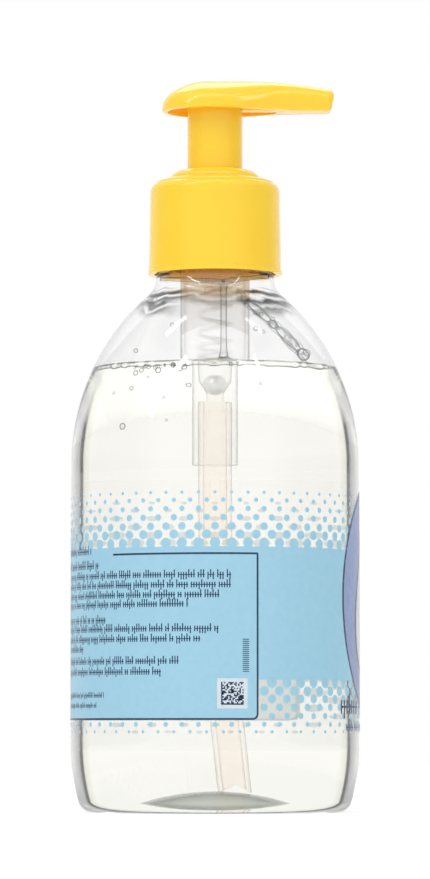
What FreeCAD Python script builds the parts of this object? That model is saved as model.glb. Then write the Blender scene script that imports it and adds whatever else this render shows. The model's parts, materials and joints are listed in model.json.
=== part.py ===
"""A 300 ml hand soap bottle with a lotion pump, built as separate pieces in one frame.

The bottle stands on z = 0 with its axis on +Z, and the nozzle points along +X.
Lengths are millimetres and angles are degrees.
"""
import FreeCAD, Part
import math
import os
import Sketcher

DRIVING_SIZES = [
    # blown PET bottle
    ("body_radius", 32.0, "outer radius of the straight body"),
    ("body_wall", 0.6, "blown wall of body, shoulder and base"),
    ("neck_base_height", 118.9, "height at which the shoulder has become the neck"),
    ("neck_base_radius", 13.1, "outer radius of the bead under the neck finish"),
    ("neck_bead_height", 1.7, "height of that bead"),
    ("neck_finish_height", 17.9, "neck base to neck top"),
    ("neck_wall_radius", 12.2, "outer radius of the finish between its threads"),
    ("neck_bore_radius", 10.6, "bore of the neck"),
    ("neck_chamfer", 0.3, "edge break on top of the neck"),
    ("shoulder_radius", 50.2, "radius of the shoulder curve"),
    ("neck_fillet", 5.5, "hollow radius between shoulder and neck"),
    ("taper_top", 14.8, "height at which the body starts to draw in"),
    ("taper_radius", 47.7, "radius of that gentle curve"),
    ("heel_radius", 3.2, "radius of the heel"),
    ("stand_inner_radius", 24.0, "inner edge of the flat ring the bottle stands on"),
    ("base_rise", 0.5, "rise of the base between that ring and the dome"),
    ("dome_radius", 15.5, "foot radius of the dome pushed up into the base"),
    ("dome_height", 4.6, "height of the dome's outside above the table"),
    # wrap-round film label
    ("label_bottom", 13.9, "lower edge of the label"),
    ("label_height", 60.6, "height of the label"),
    ("label_film", 0.08, "thickness of the film"),
    ("label_stand_off", 0.02, "glue line between film and bottle"),
    ("label_seam", 1.5, "open angle at the label's butt seam"),
    # soap
    ("soap_level", 99.4, "height of the soap's surface"),
    ("soap_clearance", 0.05, "gap kept between the soap and all it wets"),
    # gasket and pump housing
    ("gasket_thickness", 1.0, "thickness of the neck gasket"),
    ("gasket_bore_clearance", 0.4, "radial gap between gasket and housing"),
    ("flange_radius", 12.3, "housing flange that sits on the gasket"),
    ("flange_thickness", 1.2, "thickness of that flange"),
    ("barrel_radius", 9.0, "outer radius of the housing's upper barrel"),
    ("barrel_bore", 8.25, "bore of the upper barrel, which takes the lock ring"),
    ("barrel_depth", 10.5, "depth of the upper barrel's bore below the flange top"),
    ("barrel_taper", 1.0, "height of the taper under the upper barrel"),
    ("chamber_radius", 7.7, "outer radius of the pump chamber"),
    ("chamber_bore", 6.9, "bore of the pump chamber"),
    ("chamber_length", 28.2, "length of the chamber bore"),
    ("chamber_floor", 0.9, "floor of the chamber"),
    ("vent_radius", 0.5, "air vent through the chamber's wall"),
    ("vent_drop", 4.5, "chamber's top to that vent, which the piston's lips straddle at rest"),
    ("throat_radius", 4.5, "outer radius where the funnel starts"),
    ("throat_drop", 4.2, "height of the funnel below the floor"),
    ("socket_radius", 3.75, "outer radius of the tube socket"),
    ("socket_depth", 12.2, "depth to which the dip tube goes in"),
    ("cage_bore", 2.7, "bore of the ball cage"),
    ("cage_draft", 0.3, "how much wider the cage is at its mouth"),
    ("cage_depth", 7.8, "chamber floor's top to the foot of the cage bore"),
    ("seat_drop", 2.3, "height of the conical ball seat"),
    ("seat_bore", 1.4, "hole under the ball"),
    ("seat_land", 1.6, "length of that hole"),
    ("rib_reach", 1.15, "how far each keeper rib stands into the cage"),
    ("rib_root", 0.5, "how far each keeper rib is sunk into the cage's wall"),
    ("rib_width", 0.8, "width of a keeper rib"),
    ("rib_height", 1.6, "height of a keeper rib"),
    ("rib_count", 4, "keeper ribs round the cage"),
    ("ball_radius", 2.0, "inlet ball"),
    ("ball_clearance", 0.02, "gap between the ball and its seat"),
    ("ball_headroom", 1.5, "ball's top to the undersides of the keeper ribs"),
    # dip tube
    ("tube_radius", 2.8, "outer radius of the dip tube"),
    ("tube_bore", 2.0, "bore of the dip tube"),
    ("tube_fit", 0.02, "radial gap between tube and socket"),
    ("tube_straight", 20.0, "length of the tube's straight top end"),
    ("tube_curve", 600.0, "radius of the tube's gentle set curve"),
    ("tube_end", 5.8, "height of the tube's lower end"),
    ("notch_height", 1.8, "height of the notch cut across that end"),
    ("notch_spread", 0.3, "how far the notch's foot opens past the tube on each side"),
    # lock ring
    ("ring_clearance", 0.05, "face gap between lock ring and collar or step"),
    ("ring_fit", 0.05, "radial gap between lock ring and barrel bore"),
    ("ring_foot_radius", 10.1, "radius of the ring's visible foot"),
    ("ring_foot_height", 0.35, "height of the upright edge at that foot"),
    ("ring_height", 2.5, "height of the ring above the collar"),
    ("ring_top_radius", 6.9, "outer radius of the ring's top edge"),
    ("ring_curve", 5.5, "radius of the ring's domed flank"),
    ("ring_guide_length", 4.4, "length of the upper guide bore"),
    ("ring_relief", 7.2, "bore of the relief between the two guides"),
    ("ring_ramp", 1.0, "height of the ramp at each end of that relief"),
    ("ring_guide_foot", 2.0, "length of the lower guide bore"),
    ("snap_height", 1.4, "height of the snap bead"),
    ("snap_rise", 0.25, "how far the snap bead stands proud"),
    ("snap_drop", 5.0, "flange top to the middle of the snap bead"),
    # collar
    ("collar_foot_gap", 0.6, "gap from the neck base up to the collar's foot"),
    ("collar_foot_radius", 14.75, "outer radius of the skirt at its foot"),
    ("collar_top_radius", 14.45, "outer radius of the skirt at its top"),
    ("collar_lip", 0.2, "how far the lip stands out at the foot"),
    ("collar_lip_height", 0.9, "height of that lip"),
    ("collar_bore", 13.55, "bore of the skirt, clear of the neck's thread crests"),
    ("collar_clearance", 0.05, "face gap between collar and flange"),
    ("collar_web", 1.4, "thickness of the collar's top"),
    ("collar_hole", 8.35, "hole in the collar's top"),
    ("collar_shoulder_drop", 2.4, "height of the rounded shoulder"),
    ("collar_corner", 1.9, "radius of the shoulder's corner"),
    ("collar_corner_turn", 68.0, "angle through which that corner turns"),
    ("collar_crown", 20.2, "radius of the gentle curve from that corner to the top"),
    # stem, plug and piston
    ("stem_radius", 3.2, "outer radius of the stem"),
    ("stem_bore", 1.9, "bore of the stem"),
    ("stem_collar_radius", 4.3, "collar on the stem that drives the piston down"),
    ("stem_collar_height", 1.2, "height of that collar"),
    ("port_width", 1.4, "width of the notches at the stem's foot"),
    ("port_height", 1.2, "height of those notches"),
    ("port_count", 4, "notches round the stem's foot"),
    ("plug_fit", 0.02, "gap between plug and stem"),
    ("plug_flange_radius", 4.7, "flange that shuts the piston's hub"),
    ("plug_flange_height", 1.4, "thickness of that flange"),
    ("plug_shank", 6.0, "length of the shank in the stem"),
    ("plug_flute", 0.9, "width of the flutes along the shank"),
    ("plug_flute_depth", 0.8, "depth of those flutes"),
    ("spigot_radius", 2.4, "spigot inside the spring"),
    ("spigot_length", 6.0, "length of that spigot"),
    ("piston_rest_drop", 10.5, "flange top of the housing to the piston's top lip"),
    ("piston_lip_radius", 6.86, "radius of the piston's two wiping lips"),
    ("piston_skirt_radius", 6.6, "radius of the skirt between the lips"),
    ("piston_skirt_wall", 0.7, "wall of the piston's skirt"),
    ("piston_height", 8.4, "height over both lips"),
    ("piston_lip_height", 1.2, "height of a lip"),
    ("piston_hub_radius", 4.2, "outer radius of the hub"),
    ("piston_hub_gap", 0.05, "radial gap between hub and stem"),
    ("piston_hub_height", 7.0, "height of the hub"),
    ("piston_web", 1.0, "thickness of the web between hub and skirt"),
    ("piston_seat_gap", 0.05, "gap between the hub and the plug's flange at rest"),
    ("valve_slip", 1.0, "how far the stem moves before it drives the piston"),
    # spring
    ("spring_wire", 0.85, "wire diameter"),
    ("spring_mean_radius", 3.7, "mean radius of the coils"),
    ("spring_coils", 6.5, "number of coils"),
    ("spring_end_gap", 0.05, "gap at each end of the spring"),
    # head
    ("sleeve_radius", 6.15, "outer radius of the head's sleeve"),
    ("sleeve_bore", 5.15, "bore of that sleeve"),
    ("sleeve_fit", 0.08, "radial gap between sleeve and lock ring"),
    ("sleeve_foot_gap", 2.5, "piston's top lip to the sleeve's foot"),
    ("head_rim_height", 156.1, "height of the head's lower rim"),
    ("head_wall", 1.2, "wall of the head"),
    ("post_radius", 4.2, "outer radius of the post that grips the stem"),
    ("post_drop", 11.0, "how far the post reaches below the head's rim"),
    ("stem_top_gap", 0.9, "head's rim to the top of the stem"),
    ("outlet_height", 2.3, "outlet axis above the head's rim"),
    ("outlet_bore", 1.5, "radius of the outlet"),
    ("channel_width", 4.6, "width of the rib that carries the outlet"),
    ("channel_length", 15.0, "length of that rib from the stem's axis"),
    ("channel_height", 5.2, "height of that rib, up into the roof"),
    ("tip_slant", 1.1, "how far the nozzle's face leans back at its foot"),
]

# Across each station of the head: place along X, half width, height, upright edge, corner share.
HEAD_STATIONS = [
    ("back", -1.8, 10.2, 6.9, 0.6),
    ("stem", 3.0, 9.75, 6.9, 0.6),
    ("waist", 6.8, 8.2, 6.9, 0.9),
    ("neck", 10.2, 6.3, 6.85, 1.8),
    ("root", 13.6, 4.85, 6.75, 2.8),
    ("spout", 18.2, 3.85, 6.2, 3.1),
    ("reach", 22.8, 3.35, 5.5, 2.8),
    ("brink", 25.8, 3.0, 5.0, 2.6),
    ("tip", 26.9, 2.5, 4.6, 2.6),
]
CORNER_SHARE = 0.68  # corner radius of an arch as a share of its rise
HOLLOW_STATIONS = 5  # the underside is hollow from the back to the spout's root
OVERCUT = 1.0  # how far a cut runs past the face that it opens
WIRE_FLATS = 6  # sides of the polygon that stands for the spring's round wire

document = FreeCAD.newDocument("soap_bottle")
sheet = document.addObject("Spreadsheet::Sheet", "Sizes")


class Size:
    """A number together with the spreadsheet expression that gives it."""

    def __init__(self, value, text):
        self.value = value
        self.text = text

    def __add__(self, other):
        return joined(self, "+", other, self.value + sized(other).value)

    def __radd__(self, other):
        return sized(other) + self

    def __sub__(self, other):
        return joined(self, "-", other, self.value - sized(other).value)

    def __rsub__(self, other):
        return sized(other) - self

    def __mul__(self, other):
        return joined(self, "*", other, self.value * sized(other).value)

    def __rmul__(self, other):
        return sized(other) * self

    def __truediv__(self, other):
        return joined(self, "/", other, self.value / sized(other).value)

    def __neg__(self):
        return Size(-self.value, f"(-1 * {self.text})")


def sized(number):
    """A plain number as a Size, and a Size as it is."""
    return number if isinstance(number, Size) else Size(float(number), repr(float(number)))


def joined(one, sign, other, value):
    """The Size of two terms with a sign between them."""
    return Size(value, f"({sized(one).text} {sign} {sized(other).text})")


def root(size):
    """Square root of a Size."""
    return Size(math.sqrt(size.value), f"sqrt({size.text})")


def cosine(size):
    """Cosine of a Size in degrees."""
    return Size(math.cos(math.radians(size.value)), f"cos({size.text})")


def sine(size):
    """Sine of a Size in degrees."""
    return Size(math.sin(math.radians(size.value)), f"sin({size.text})")


def fill_sheet():
    """Writes each driving size to the sheet and returns them as Sizes by name."""
    rows = list(DRIVING_SIZES)
    for name, along, half_width, height, upright in HEAD_STATIONS:
        rows.append((f"{name}_along", along, f"place of the head's {name} station"))
        rows.append((f"{name}_half_width", half_width, "half width there"))
        rows.append((f"{name}_height", height, "height above the rim there"))
        rows.append((f"{name}_upright", upright, "upright edge there"))
    named = {}
    for line, (name, value, words) in enumerate(rows, start=1):
        sheet.set(f"A{line}", name)
        sheet.set(f"B{line}", str(value))
        sheet.set(f"C{line}", words)
        sheet.setAlias(f"B{line}", name)
        named[name] = Size(float(value), f"Sizes.{name}")
    document.recompute()
    return named


size = fill_sheet()


def bind(feature, field, length):
    """Ties a property of a feature to the sheet."""
    feature.setExpression(field, length.text)


def new_body(name):
    """A body whose label names its file."""
    body = document.addObject("PartDesign::Body", name)
    body.Label = name
    return body


def plane_of(body, role):
    """One of the body's own origin planes."""
    return next(f for f in body.Origin.OriginFeatures if f.Role == role)


def new_sketch(body, name, role, offset=None):
    """A sketch on one of the body's origin planes, moved along its normal by offset."""
    sketch = body.newObject("Sketcher::SketchObject", name)
    sketch.AttachmentSupport = (plane_of(body, role), [""])
    sketch.MapMode = "FlatFace"
    if offset is not None:
        bind(sketch, "AttachmentOffset.Base.z", offset)
    document.recompute()
    return sketch


def pin_coordinate(sketch, kind, axis, geometry, end, place):
    """Fixes one coordinate of a vertex to a Size."""
    if abs(place.value) < 1e-9:
        sketch.addConstraint(Sketcher.Constraint("PointOnObject", geometry, end, axis))
        return
    if place.value > 0:
        rule = Sketcher.Constraint(kind, -1, 1, geometry, end, place.value)
    else:
        rule = Sketcher.Constraint(kind, geometry, end, -1, 1, -place.value)
        place = -place
    number = sketch.addConstraint(rule)
    sketch.setExpression(f"Constraints[{number}]", place.text)


def arc_between(start, end, radius, turn):
    """The short arc from start to end with its centre on the left (turn 1) or right (-1)."""
    chord = end - start
    middle = (start + end) / 2
    rise = math.sqrt(max(radius**2 - (chord.Length / 2) ** 2, 0.0))
    left = FreeCAD.Vector(-chord.y, chord.x, 0).normalize()
    centre = middle + left * (rise * turn)
    first, last = (start, end) if turn > 0 else (end, start)
    angles = [math.atan2(p.y - centre.y, p.x - centre.x) for p in (first, last)]
    circle = Part.Circle(centre, FreeCAD.Vector(0, 0, 1), radius)
    return Part.ArcOfCircle(circle, angles[0], angles[1])


def draw_outline(sketch, corners):
    """Draws a closed outline through corners of (across, up) or (across, up, radius, turn).

    The third and fourth values make the edge that leaves the corner an arc.
    """
    places = [(sized(c[0]), sized(c[1])) for c in corners]
    points = [FreeCAD.Vector(a.value, u.value, 0) for a, u in places]
    ends = []
    for number, corner in enumerate(corners):
        start, end = points[number], points[(number + 1) % len(points)]
        if len(corner) == 2:
            edge = sketch.addGeometry(Part.LineSegment(start, end), False)
            ends.append((edge, 1, 2))
            continue
        radius, turn = sized(corner[2]), corner[3]
        edge = sketch.addGeometry(arc_between(start, end, radius.value, turn), False)
        ends.append((edge, 1, 2) if turn > 0 else (edge, 2, 1))
    for number, (edge, first, last) in enumerate(ends):
        following, following_first, _ = ends[(number + 1) % len(ends)]
        sketch.addConstraint(
            Sketcher.Constraint("Coincident", edge, last, following, following_first)
        )
        across, up = places[number]
        pin_coordinate(sketch, "DistanceX", -2, edge, first, across)
        pin_coordinate(sketch, "DistanceY", -1, edge, first, up)
        if len(corners[number]) > 2:
            radius = sized(corners[number][2])
            rule = Sketcher.Constraint("Radius", edge, radius.value)
            bound = sketch.addConstraint(rule)
            sketch.setExpression(f"Constraints[{bound}]", radius.text)


def draw_circle(sketch, across, up, radius):
    """A circle fixed by its centre and radius."""
    across, up, radius = sized(across), sized(up), sized(radius)
    centre = FreeCAD.Vector(across.value, up.value, 0)
    circle = Part.Circle(centre, FreeCAD.Vector(0, 0, 1), radius.value)
    edge = sketch.addGeometry(circle, False)
    pin_coordinate(sketch, "DistanceX", -2, edge, 3, across)
    pin_coordinate(sketch, "DistanceY", -1, edge, 3, up)
    bound = sketch.addConstraint(Sketcher.Constraint("Radius", edge, radius.value))
    sketch.setExpression(f"Constraints[{bound}]", radius.text)


def sketched(body, name, role, corners, offset=None):
    """A sketch that holds one closed outline."""
    sketch = new_sketch(body, name, role, offset)
    draw_outline(sketch, corners)
    document.recompute()
    return sketch


def feature_of(body, kind, name, sketch, **settings):
    """A PartDesign feature made from a sketch; a cut has to take material away."""
    cuts = kind in ("Pocket", "Groove", "SubtractiveLoft", "SubtractivePipe")
    before = body.Shape.Volume if cuts else 0.0
    feature = body.newObject(f"PartDesign::{kind}", name)
    feature.Profile = sketch
    for field, value in settings.items():
        if isinstance(value, Size):
            bind(feature, field, value)
        else:
            setattr(feature, field, value)
    sketch.Visibility = False
    document.recompute()
    if cuts and not body.Shape.Volume < before - 1e-6:
        raise RuntimeError(f"{body.Label}: {name} cuts nothing")
    return feature


def turned(body, name, corners, angle=360.0, kind="Revolution"):
    """A feature turned from an outline in the XZ plane about the bottle's axis."""
    sketch = sketched(body, f"{name}_outline", "XZ_Plane", corners)
    return feature_of(
        body, kind, name, sketch, ReferenceAxis=(sketch, ["V_Axis"]), Angle=angle
    )


def repeated(body, feature, name, count):
    """The feature repeated round the bottle's axis."""
    pattern = body.newObject("PartDesign::PolarPattern", name)
    pattern.Originals = [feature]
    pattern.Axis = (plane_of(body, "Z_Axis"), [""])
    pattern.Angle = 360.0
    bind(pattern, "Occurrences", count)
    body.Tip = pattern
    document.recompute()
    return pattern


# Heights that several pieces share.
neck_top = size["neck_base_height"] + size["neck_finish_height"]
flange_bottom = neck_top + size["gasket_thickness"]
flange_top = flange_bottom + size["flange_thickness"]
barrel_floor = flange_top - size["barrel_depth"]
chamber_bottom = barrel_floor - size["chamber_length"]
throat_top = chamber_bottom - size["chamber_floor"]
cage_bottom = chamber_bottom - size["cage_depth"]
seat_bottom = cage_bottom - size["seat_drop"]
tube_top = seat_bottom - size["seat_land"]
socket_bottom = tube_top - size["socket_depth"]
collar_top = flange_top + size["collar_clearance"] + size["collar_web"]
piston_top = flange_top - size["piston_rest_drop"]
hub_bottom = piston_top - size["piston_height"]
plug_top = hub_bottom - size["piston_seat_gap"]
plug_bottom = plug_top - size["plug_flange_height"]
stem_top = size["head_rim_height"] + size["stem_top_gap"]
outlet_level = size["head_rim_height"] + size["outlet_height"]


def shell_curve(inset):
    """Corners of the bottle's outside, or of a surface inset from it, from dome to neck.

    The shoulder and the neck's hollow are two arcs that meet tangentially at one
    angle, and so are the body's taper and its heel.
    """
    wide = size["body_radius"]
    shoulder, hollow = size["shoulder_radius"], size["neck_fillet"]
    lean_cos = 1 - (wide - size["neck_base_radius"]) / (shoulder + hollow)
    lean_sin = root(1 - lean_cos * lean_cos)
    shoulder_foot = size["neck_base_height"] - (shoulder + hollow) * lean_sin
    shoulder_centre = wide - shoulder
    inner_shoulder = shoulder - inset
    taper, heel = size["taper_radius"], size["heel_radius"]
    heel_sin = (size["taper_top"] - heel) / (taper - heel)
    heel_cos = root(1 - heel_sin * heel_sin)
    heel_centre = wide - taper + (taper - heel) * heel_cos
    inner_taper, inner_heel = taper - inset, heel - inset
    dome = size["dome_radius"]
    dome_rise = size["dome_height"] - size["base_rise"]
    dome_curve = (dome * dome + dome_rise * dome_rise) / (2 * dome_rise)
    return [
        (0, size["dome_height"] + inset, dome_curve, -1),
        (dome, size["base_rise"] + inset),
        (size["stand_inner_radius"], inset),
        (heel_centre, sized(0) + inset, inner_heel, 1),
        (
            heel_centre + inner_heel * heel_cos,
            heel - inner_heel * heel_sin,
            inner_taper,
            1,
        ),
        (wide - inset, size["taper_top"]),
        (wide - inset, shoulder_foot, inner_shoulder, 1),
        (
            shoulder_centre + inner_shoulder * lean_cos,
            shoulder_foot + inner_shoulder * lean_sin,
            hollow + inset,
            -1,
        ),
        (size["neck_base_radius"] - inset, size["neck_base_height"]),
    ]


def reversed_outline(corners):
    """The same edges walked the other way, each arc's data moved to its new start."""
    turned_round = []
    for number in range(len(corners) - 1, -1, -1):
        before = corners[number - 1] if number > 0 else ()
        bend = (before[2], -before[3]) if len(before) > 2 else ()
        turned_round.append((corners[number][0], corners[number][1]) + bend)
    return turned_round


def make_bottle():
    """Blown body, shoulder and domed base in one wall, with a thicker moulded neck."""
    body = new_body("bottle")
    break_edge = size["neck_chamfer"]
    bead_top = size["neck_base_height"] + size["neck_bead_height"]
    step = size["neck_base_radius"] - size["neck_wall_radius"]
    neck = [
        (size["neck_base_radius"], bead_top),
        (size["neck_wall_radius"], bead_top + step / 2),
        (size["neck_wall_radius"], neck_top - break_edge),
        (size["neck_wall_radius"] - break_edge, neck_top),
        (size["neck_bore_radius"], neck_top),
        (size["neck_bore_radius"], bead_top + step),
    ]
    inside = reversed_outline(shell_curve(size["body_wall"]))
    turned(body, "blown_shell", shell_curve(sized(0)) + neck + inside)
    return body


def make_label():
    """Clear film wrapped once round the body, with a butt seam on the far side."""
    body = new_body("label")
    inner = size["body_radius"] + size["label_stand_off"]
    outer = inner + size["label_film"]
    bottom = size["label_bottom"]
    top = bottom + size["label_height"]
    corners = [(inner, bottom), (outer, bottom), (outer, top), (inner, top)]
    turned(body, "film", corners, 360 - size["label_seam"])
    seam_on_far_side = FreeCAD.Rotation(FreeCAD.Vector(0, 0, 1), 90)
    body.Placement = FreeCAD.Placement(FreeCAD.Vector(0, 0, 0), seam_on_far_side)
    return body


def housing_outside(gap):
    """Corners of the housing's wetted outside, grown by gap, from the socket upwards."""
    return [
        (size["socket_radius"] + gap, socket_bottom - gap),
        (size["socket_radius"] + gap, throat_top - size["throat_drop"]),
        (size["throat_radius"] + gap, throat_top - gap),
        (size["chamber_radius"] + gap, throat_top - gap),
    ]


def tube_path(body, name):
    """Sketch of the dip tube's centre line: straight, then one long tangent arc."""
    sketch = new_sketch(body, name, "XZ_Plane")
    bend_height = tube_top - size["tube_straight"]
    curve = size["tube_curve"]
    sine_end = (bend_height - size["tube_end"]) / curve
    across_end = curve - curve * root(1 - sine_end * sine_end)
    top = FreeCAD.Vector(0, tube_top.value, 0)
    bend = FreeCAD.Vector(0, bend_height.value, 0)
    foot = FreeCAD.Vector(across_end.value, size["tube_end"].value, 0)
    line = sketch.addGeometry(Part.LineSegment(top, bend), False)
    arc = sketch.addGeometry(arc_between(bend, foot, curve.value, 1), False)
    sketch.addConstraint(Sketcher.Constraint("Coincident", line, 2, arc, 1))
    pin_coordinate(sketch, "DistanceX", -2, line, 1, sized(0))
    pin_coordinate(sketch, "DistanceY", -1, line, 1, tube_top)
    pin_coordinate(sketch, "DistanceX", -2, line, 2, sized(0))
    pin_coordinate(sketch, "DistanceY", -1, line, 2, bend_height)
    pin_coordinate(sketch, "DistanceX", -2, arc, 2, across_end)
    pin_coordinate(sketch, "DistanceY", -1, arc, 2, size["tube_end"])
    bound = sketch.addConstraint(Sketcher.Constraint("Radius", arc, curve.value))
    sketch.setExpression(f"Constraints[{bound}]", curve.text)
    document.recompute()
    return sketch


def piped(body, name, kind, outer, inner):
    """A tube wall of the given radii, added or cut along the dip tube's path."""
    ring = new_sketch(body, f"{name}_ring", "XY_Plane", tube_top)
    draw_circle(ring, 0, 0, outer)
    draw_circle(ring, 0, 0, inner)
    path = tube_path(body, f"{name}_path")
    document.recompute()
    return feature_of(body, kind, name, ring, Spine=path)


def make_soap():
    """Soap fills the cavity up to its level, round the pump and inside the dip tube."""
    body = new_body("soap_liquid")
    gap = size["soap_clearance"]
    wetted = shell_curve(size["body_wall"] + gap)
    shoulder_start = wetted[6]
    curve = shoulder_start[2]
    centre = shoulder_start[0] - curve
    rise = size["soap_level"] - shoulder_start[1]
    level_radius = centre + root(curve * curve - rise * rise)
    level = [(level_radius, size["soap_level"]), (0, size["soap_level"])]
    turned(body, "cavity_fill", wetted[:7] + level)
    above = size["soap_level"] + OVERCUT
    column = size["tube_bore"] - gap
    engine = housing_outside(gap) + [
        (size["chamber_radius"] + gap, above),
        (0, above),
        (0, tube_top),
        (column, tube_top),
        (column, socket_bottom - gap),
    ]
    turned(body, "round_the_housing", engine, kind="Groove")
    piped(body, "round_the_tube", "SubtractivePipe", size["tube_radius"] + gap, column)
    return body


def make_gasket():
    """Flat foam washer between the neck and the housing's flange."""
    body = new_body("neck_gasket")
    inner = size["barrel_radius"] + size["gasket_bore_clearance"]
    outer = size["neck_wall_radius"]
    corners = [
        (inner, neck_top),
        (outer, neck_top),
        (outer, flange_bottom),
        (inner, flange_bottom),
    ]
    turned(body, "washer", corners)
    return body


def snap_bead(radius, rise, half):
    """Corners of a round-topped bead or groove on a bore or skirt, from the top down."""
    middle = flange_top - size["snap_drop"]
    return [
        (radius, middle + half),
        (radius + rise, middle + half / 3),
        (radius + rise, middle - half / 3),
        (radius, middle - half),
    ]


def make_housing():
    """Flange, barrel, pump chamber, ball cage and tube socket moulded as one piece."""
    body = new_body("pump_housing")
    barrel_skin = size["barrel_radius"] - size["barrel_bore"]
    half_snap = size["snap_height"] / 2
    groove_rise = size["snap_rise"] + size["ring_fit"]
    outside = housing_outside(sized(0)) + [
        (size["chamber_radius"], barrel_floor - barrel_skin - size["barrel_taper"]),
        (size["barrel_radius"], barrel_floor - barrel_skin),
        (size["barrel_radius"], flange_bottom),
        (size["flange_radius"], flange_bottom),
        (size["flange_radius"], flange_top),
        (size["barrel_bore"], flange_top),
    ]
    groove = snap_bead(size["barrel_bore"], groove_rise, half_snap + size["ring_fit"])
    socket_bore = size["tube_radius"] + size["tube_fit"]
    inside = [
        (size["barrel_bore"], barrel_floor),
        (size["chamber_bore"], barrel_floor),
        (size["chamber_bore"], chamber_bottom),
        (size["cage_bore"] + size["cage_draft"], chamber_bottom),
        (size["cage_bore"], cage_bottom),
        (size["seat_bore"], seat_bottom),
        (size["seat_bore"], tube_top + size["tube_fit"]),
        (socket_bore, tube_top + size["tube_fit"]),
        (socket_bore, socket_bottom),
    ]
    turned(body, "moulded_housing", outside + groove + inside)
    rib_bottom = ball_centre() + size["ball_radius"] + size["ball_headroom"]
    inner = size["cage_bore"] - size["rib_reach"]
    outer = size["cage_bore"] + size["rib_root"]
    half = size["rib_width"] / 2
    foot = [(inner, -half), (outer, -half), (outer, half), (inner, half)]
    sketch = sketched(body, "rib_foot", "XY_Plane", foot, rib_bottom)
    rib = feature_of(body, "Pad", "keeper_rib", sketch, Length=size["rib_height"])
    repeated(body, rib, "keeper_ribs", size["rib_count"])
    vent = new_sketch(body, "vent_outline", "YZ_Plane")
    draw_circle(vent, 0, barrel_floor - size["vent_drop"], size["vent_radius"])
    document.recompute()
    reach = size["chamber_radius"] + OVERCUT
    feature_of(body, "Pocket", "air_vent", vent, Length=reach)
    return body


def ball_centre():
    """Height of the ball's centre when it rests in the conical seat."""
    drop = size["seat_drop"]
    spread = size["cage_bore"] - size["seat_bore"]
    slant = root(drop * drop + spread * spread)
    reach = size["ball_radius"] + size["ball_clearance"]
    return seat_bottom + (reach * slant - size["seat_bore"] * drop) / spread


def make_ball():
    """Steel ball that lets soap up the tube and not back down."""
    ball = document.addObject("Part::Sphere", "inlet_ball")
    ball.Label = "inlet_ball"
    bind(ball, "Radius", size["ball_radius"])
    bind(ball, "Placement.Base.z", ball_centre())
    return ball


def make_tube():
    """Dip tube with its set curve and a notch across the end so that it can't seal."""
    body = new_body("dip_tube")
    piped(body, "drawn_tube", "AdditivePipe", size["tube_radius"], size["tube_bore"])
    curve = size["tube_curve"]
    fall = (tube_top - size["tube_straight"] - size["tube_end"]) / curve
    foot_across = curve - curve * root(1 - fall * fall)
    half = size["tube_radius"] + size["notch_spread"]
    low = size["tube_end"] - size["tube_radius"]
    wedge = [
        (foot_across - half, low),
        (foot_across + half, low),
        (foot_across, size["tube_end"] + size["notch_height"]),
    ]
    sketch = sketched(body, "notch_outline", "XZ_Plane", wedge)
    across = 2 * (size["tube_radius"] + OVERCUT)
    feature_of(body, "Pocket", "end_notch", sketch, Length=across, Midplane=True)
    return body


def make_lock_ring():
    """Ring snapped into the housing: it holds the collar on and guides the sleeve."""
    body = new_body("lock_ring")
    skirt = size["barrel_bore"] - size["ring_fit"]
    bore = size["sleeve_radius"] + size["sleeve_fit"]
    foot = collar_top + size["ring_clearance"]
    top = collar_top + size["ring_height"]
    bottom = barrel_floor + size["ring_clearance"]
    bead = snap_bead(skirt, size["snap_rise"], size["snap_height"] / 2)
    corners = [
        (bore, bottom),
        (skirt, bottom),
        *reversed(bead),
        (skirt, foot),
        (size["ring_foot_radius"], foot),
        (size["ring_foot_radius"], foot + size["ring_foot_height"], size["ring_curve"], 1),
        (size["ring_top_radius"], top),
        (bore, top),
        (bore, top - size["ring_guide_length"]),
        (size["ring_relief"], top - size["ring_guide_length"] - size["ring_ramp"]),
        (size["ring_relief"], bottom + size["ring_guide_foot"] + size["ring_ramp"]),
        (bore, bottom + size["ring_guide_foot"]),
    ]
    turned(body, "ring", corners)
    return body


def make_collar():
    """Plain screw collar with a drafted skirt, a fine lip and a rounded shoulder."""
    body = new_body("collar")
    foot = size["neck_base_height"] + size["collar_foot_gap"]
    lip_radius = size["collar_foot_radius"] + size["collar_lip"]
    lip_top = foot + size["collar_lip_height"]
    edge = size["collar_lip"] / 2
    turn = size["collar_corner_turn"]
    corner = size["collar_corner"]
    corner_foot = collar_top - size["collar_shoulder_drop"]
    under = flange_top + size["collar_clearance"]
    corners = [
        (size["collar_bore"], foot),
        (lip_radius - edge, foot),
        (lip_radius, foot + edge),
        (lip_radius, lip_top - edge),
        (size["collar_foot_radius"], lip_top),
        (size["collar_top_radius"], corner_foot, corner, 1),
        (
            size["collar_top_radius"] - corner + corner * cosine(turn),
            corner_foot + corner * sine(turn),
            size["collar_crown"],
            1,
        ),
        (size["ring_foot_radius"] + size["ring_clearance"], collar_top),
        (size["collar_hole"], collar_top),
        (size["collar_hole"], under),
        (size["collar_bore"], under),
    ]
    turned(body, "collar_shell", corners)
    return body


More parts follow.
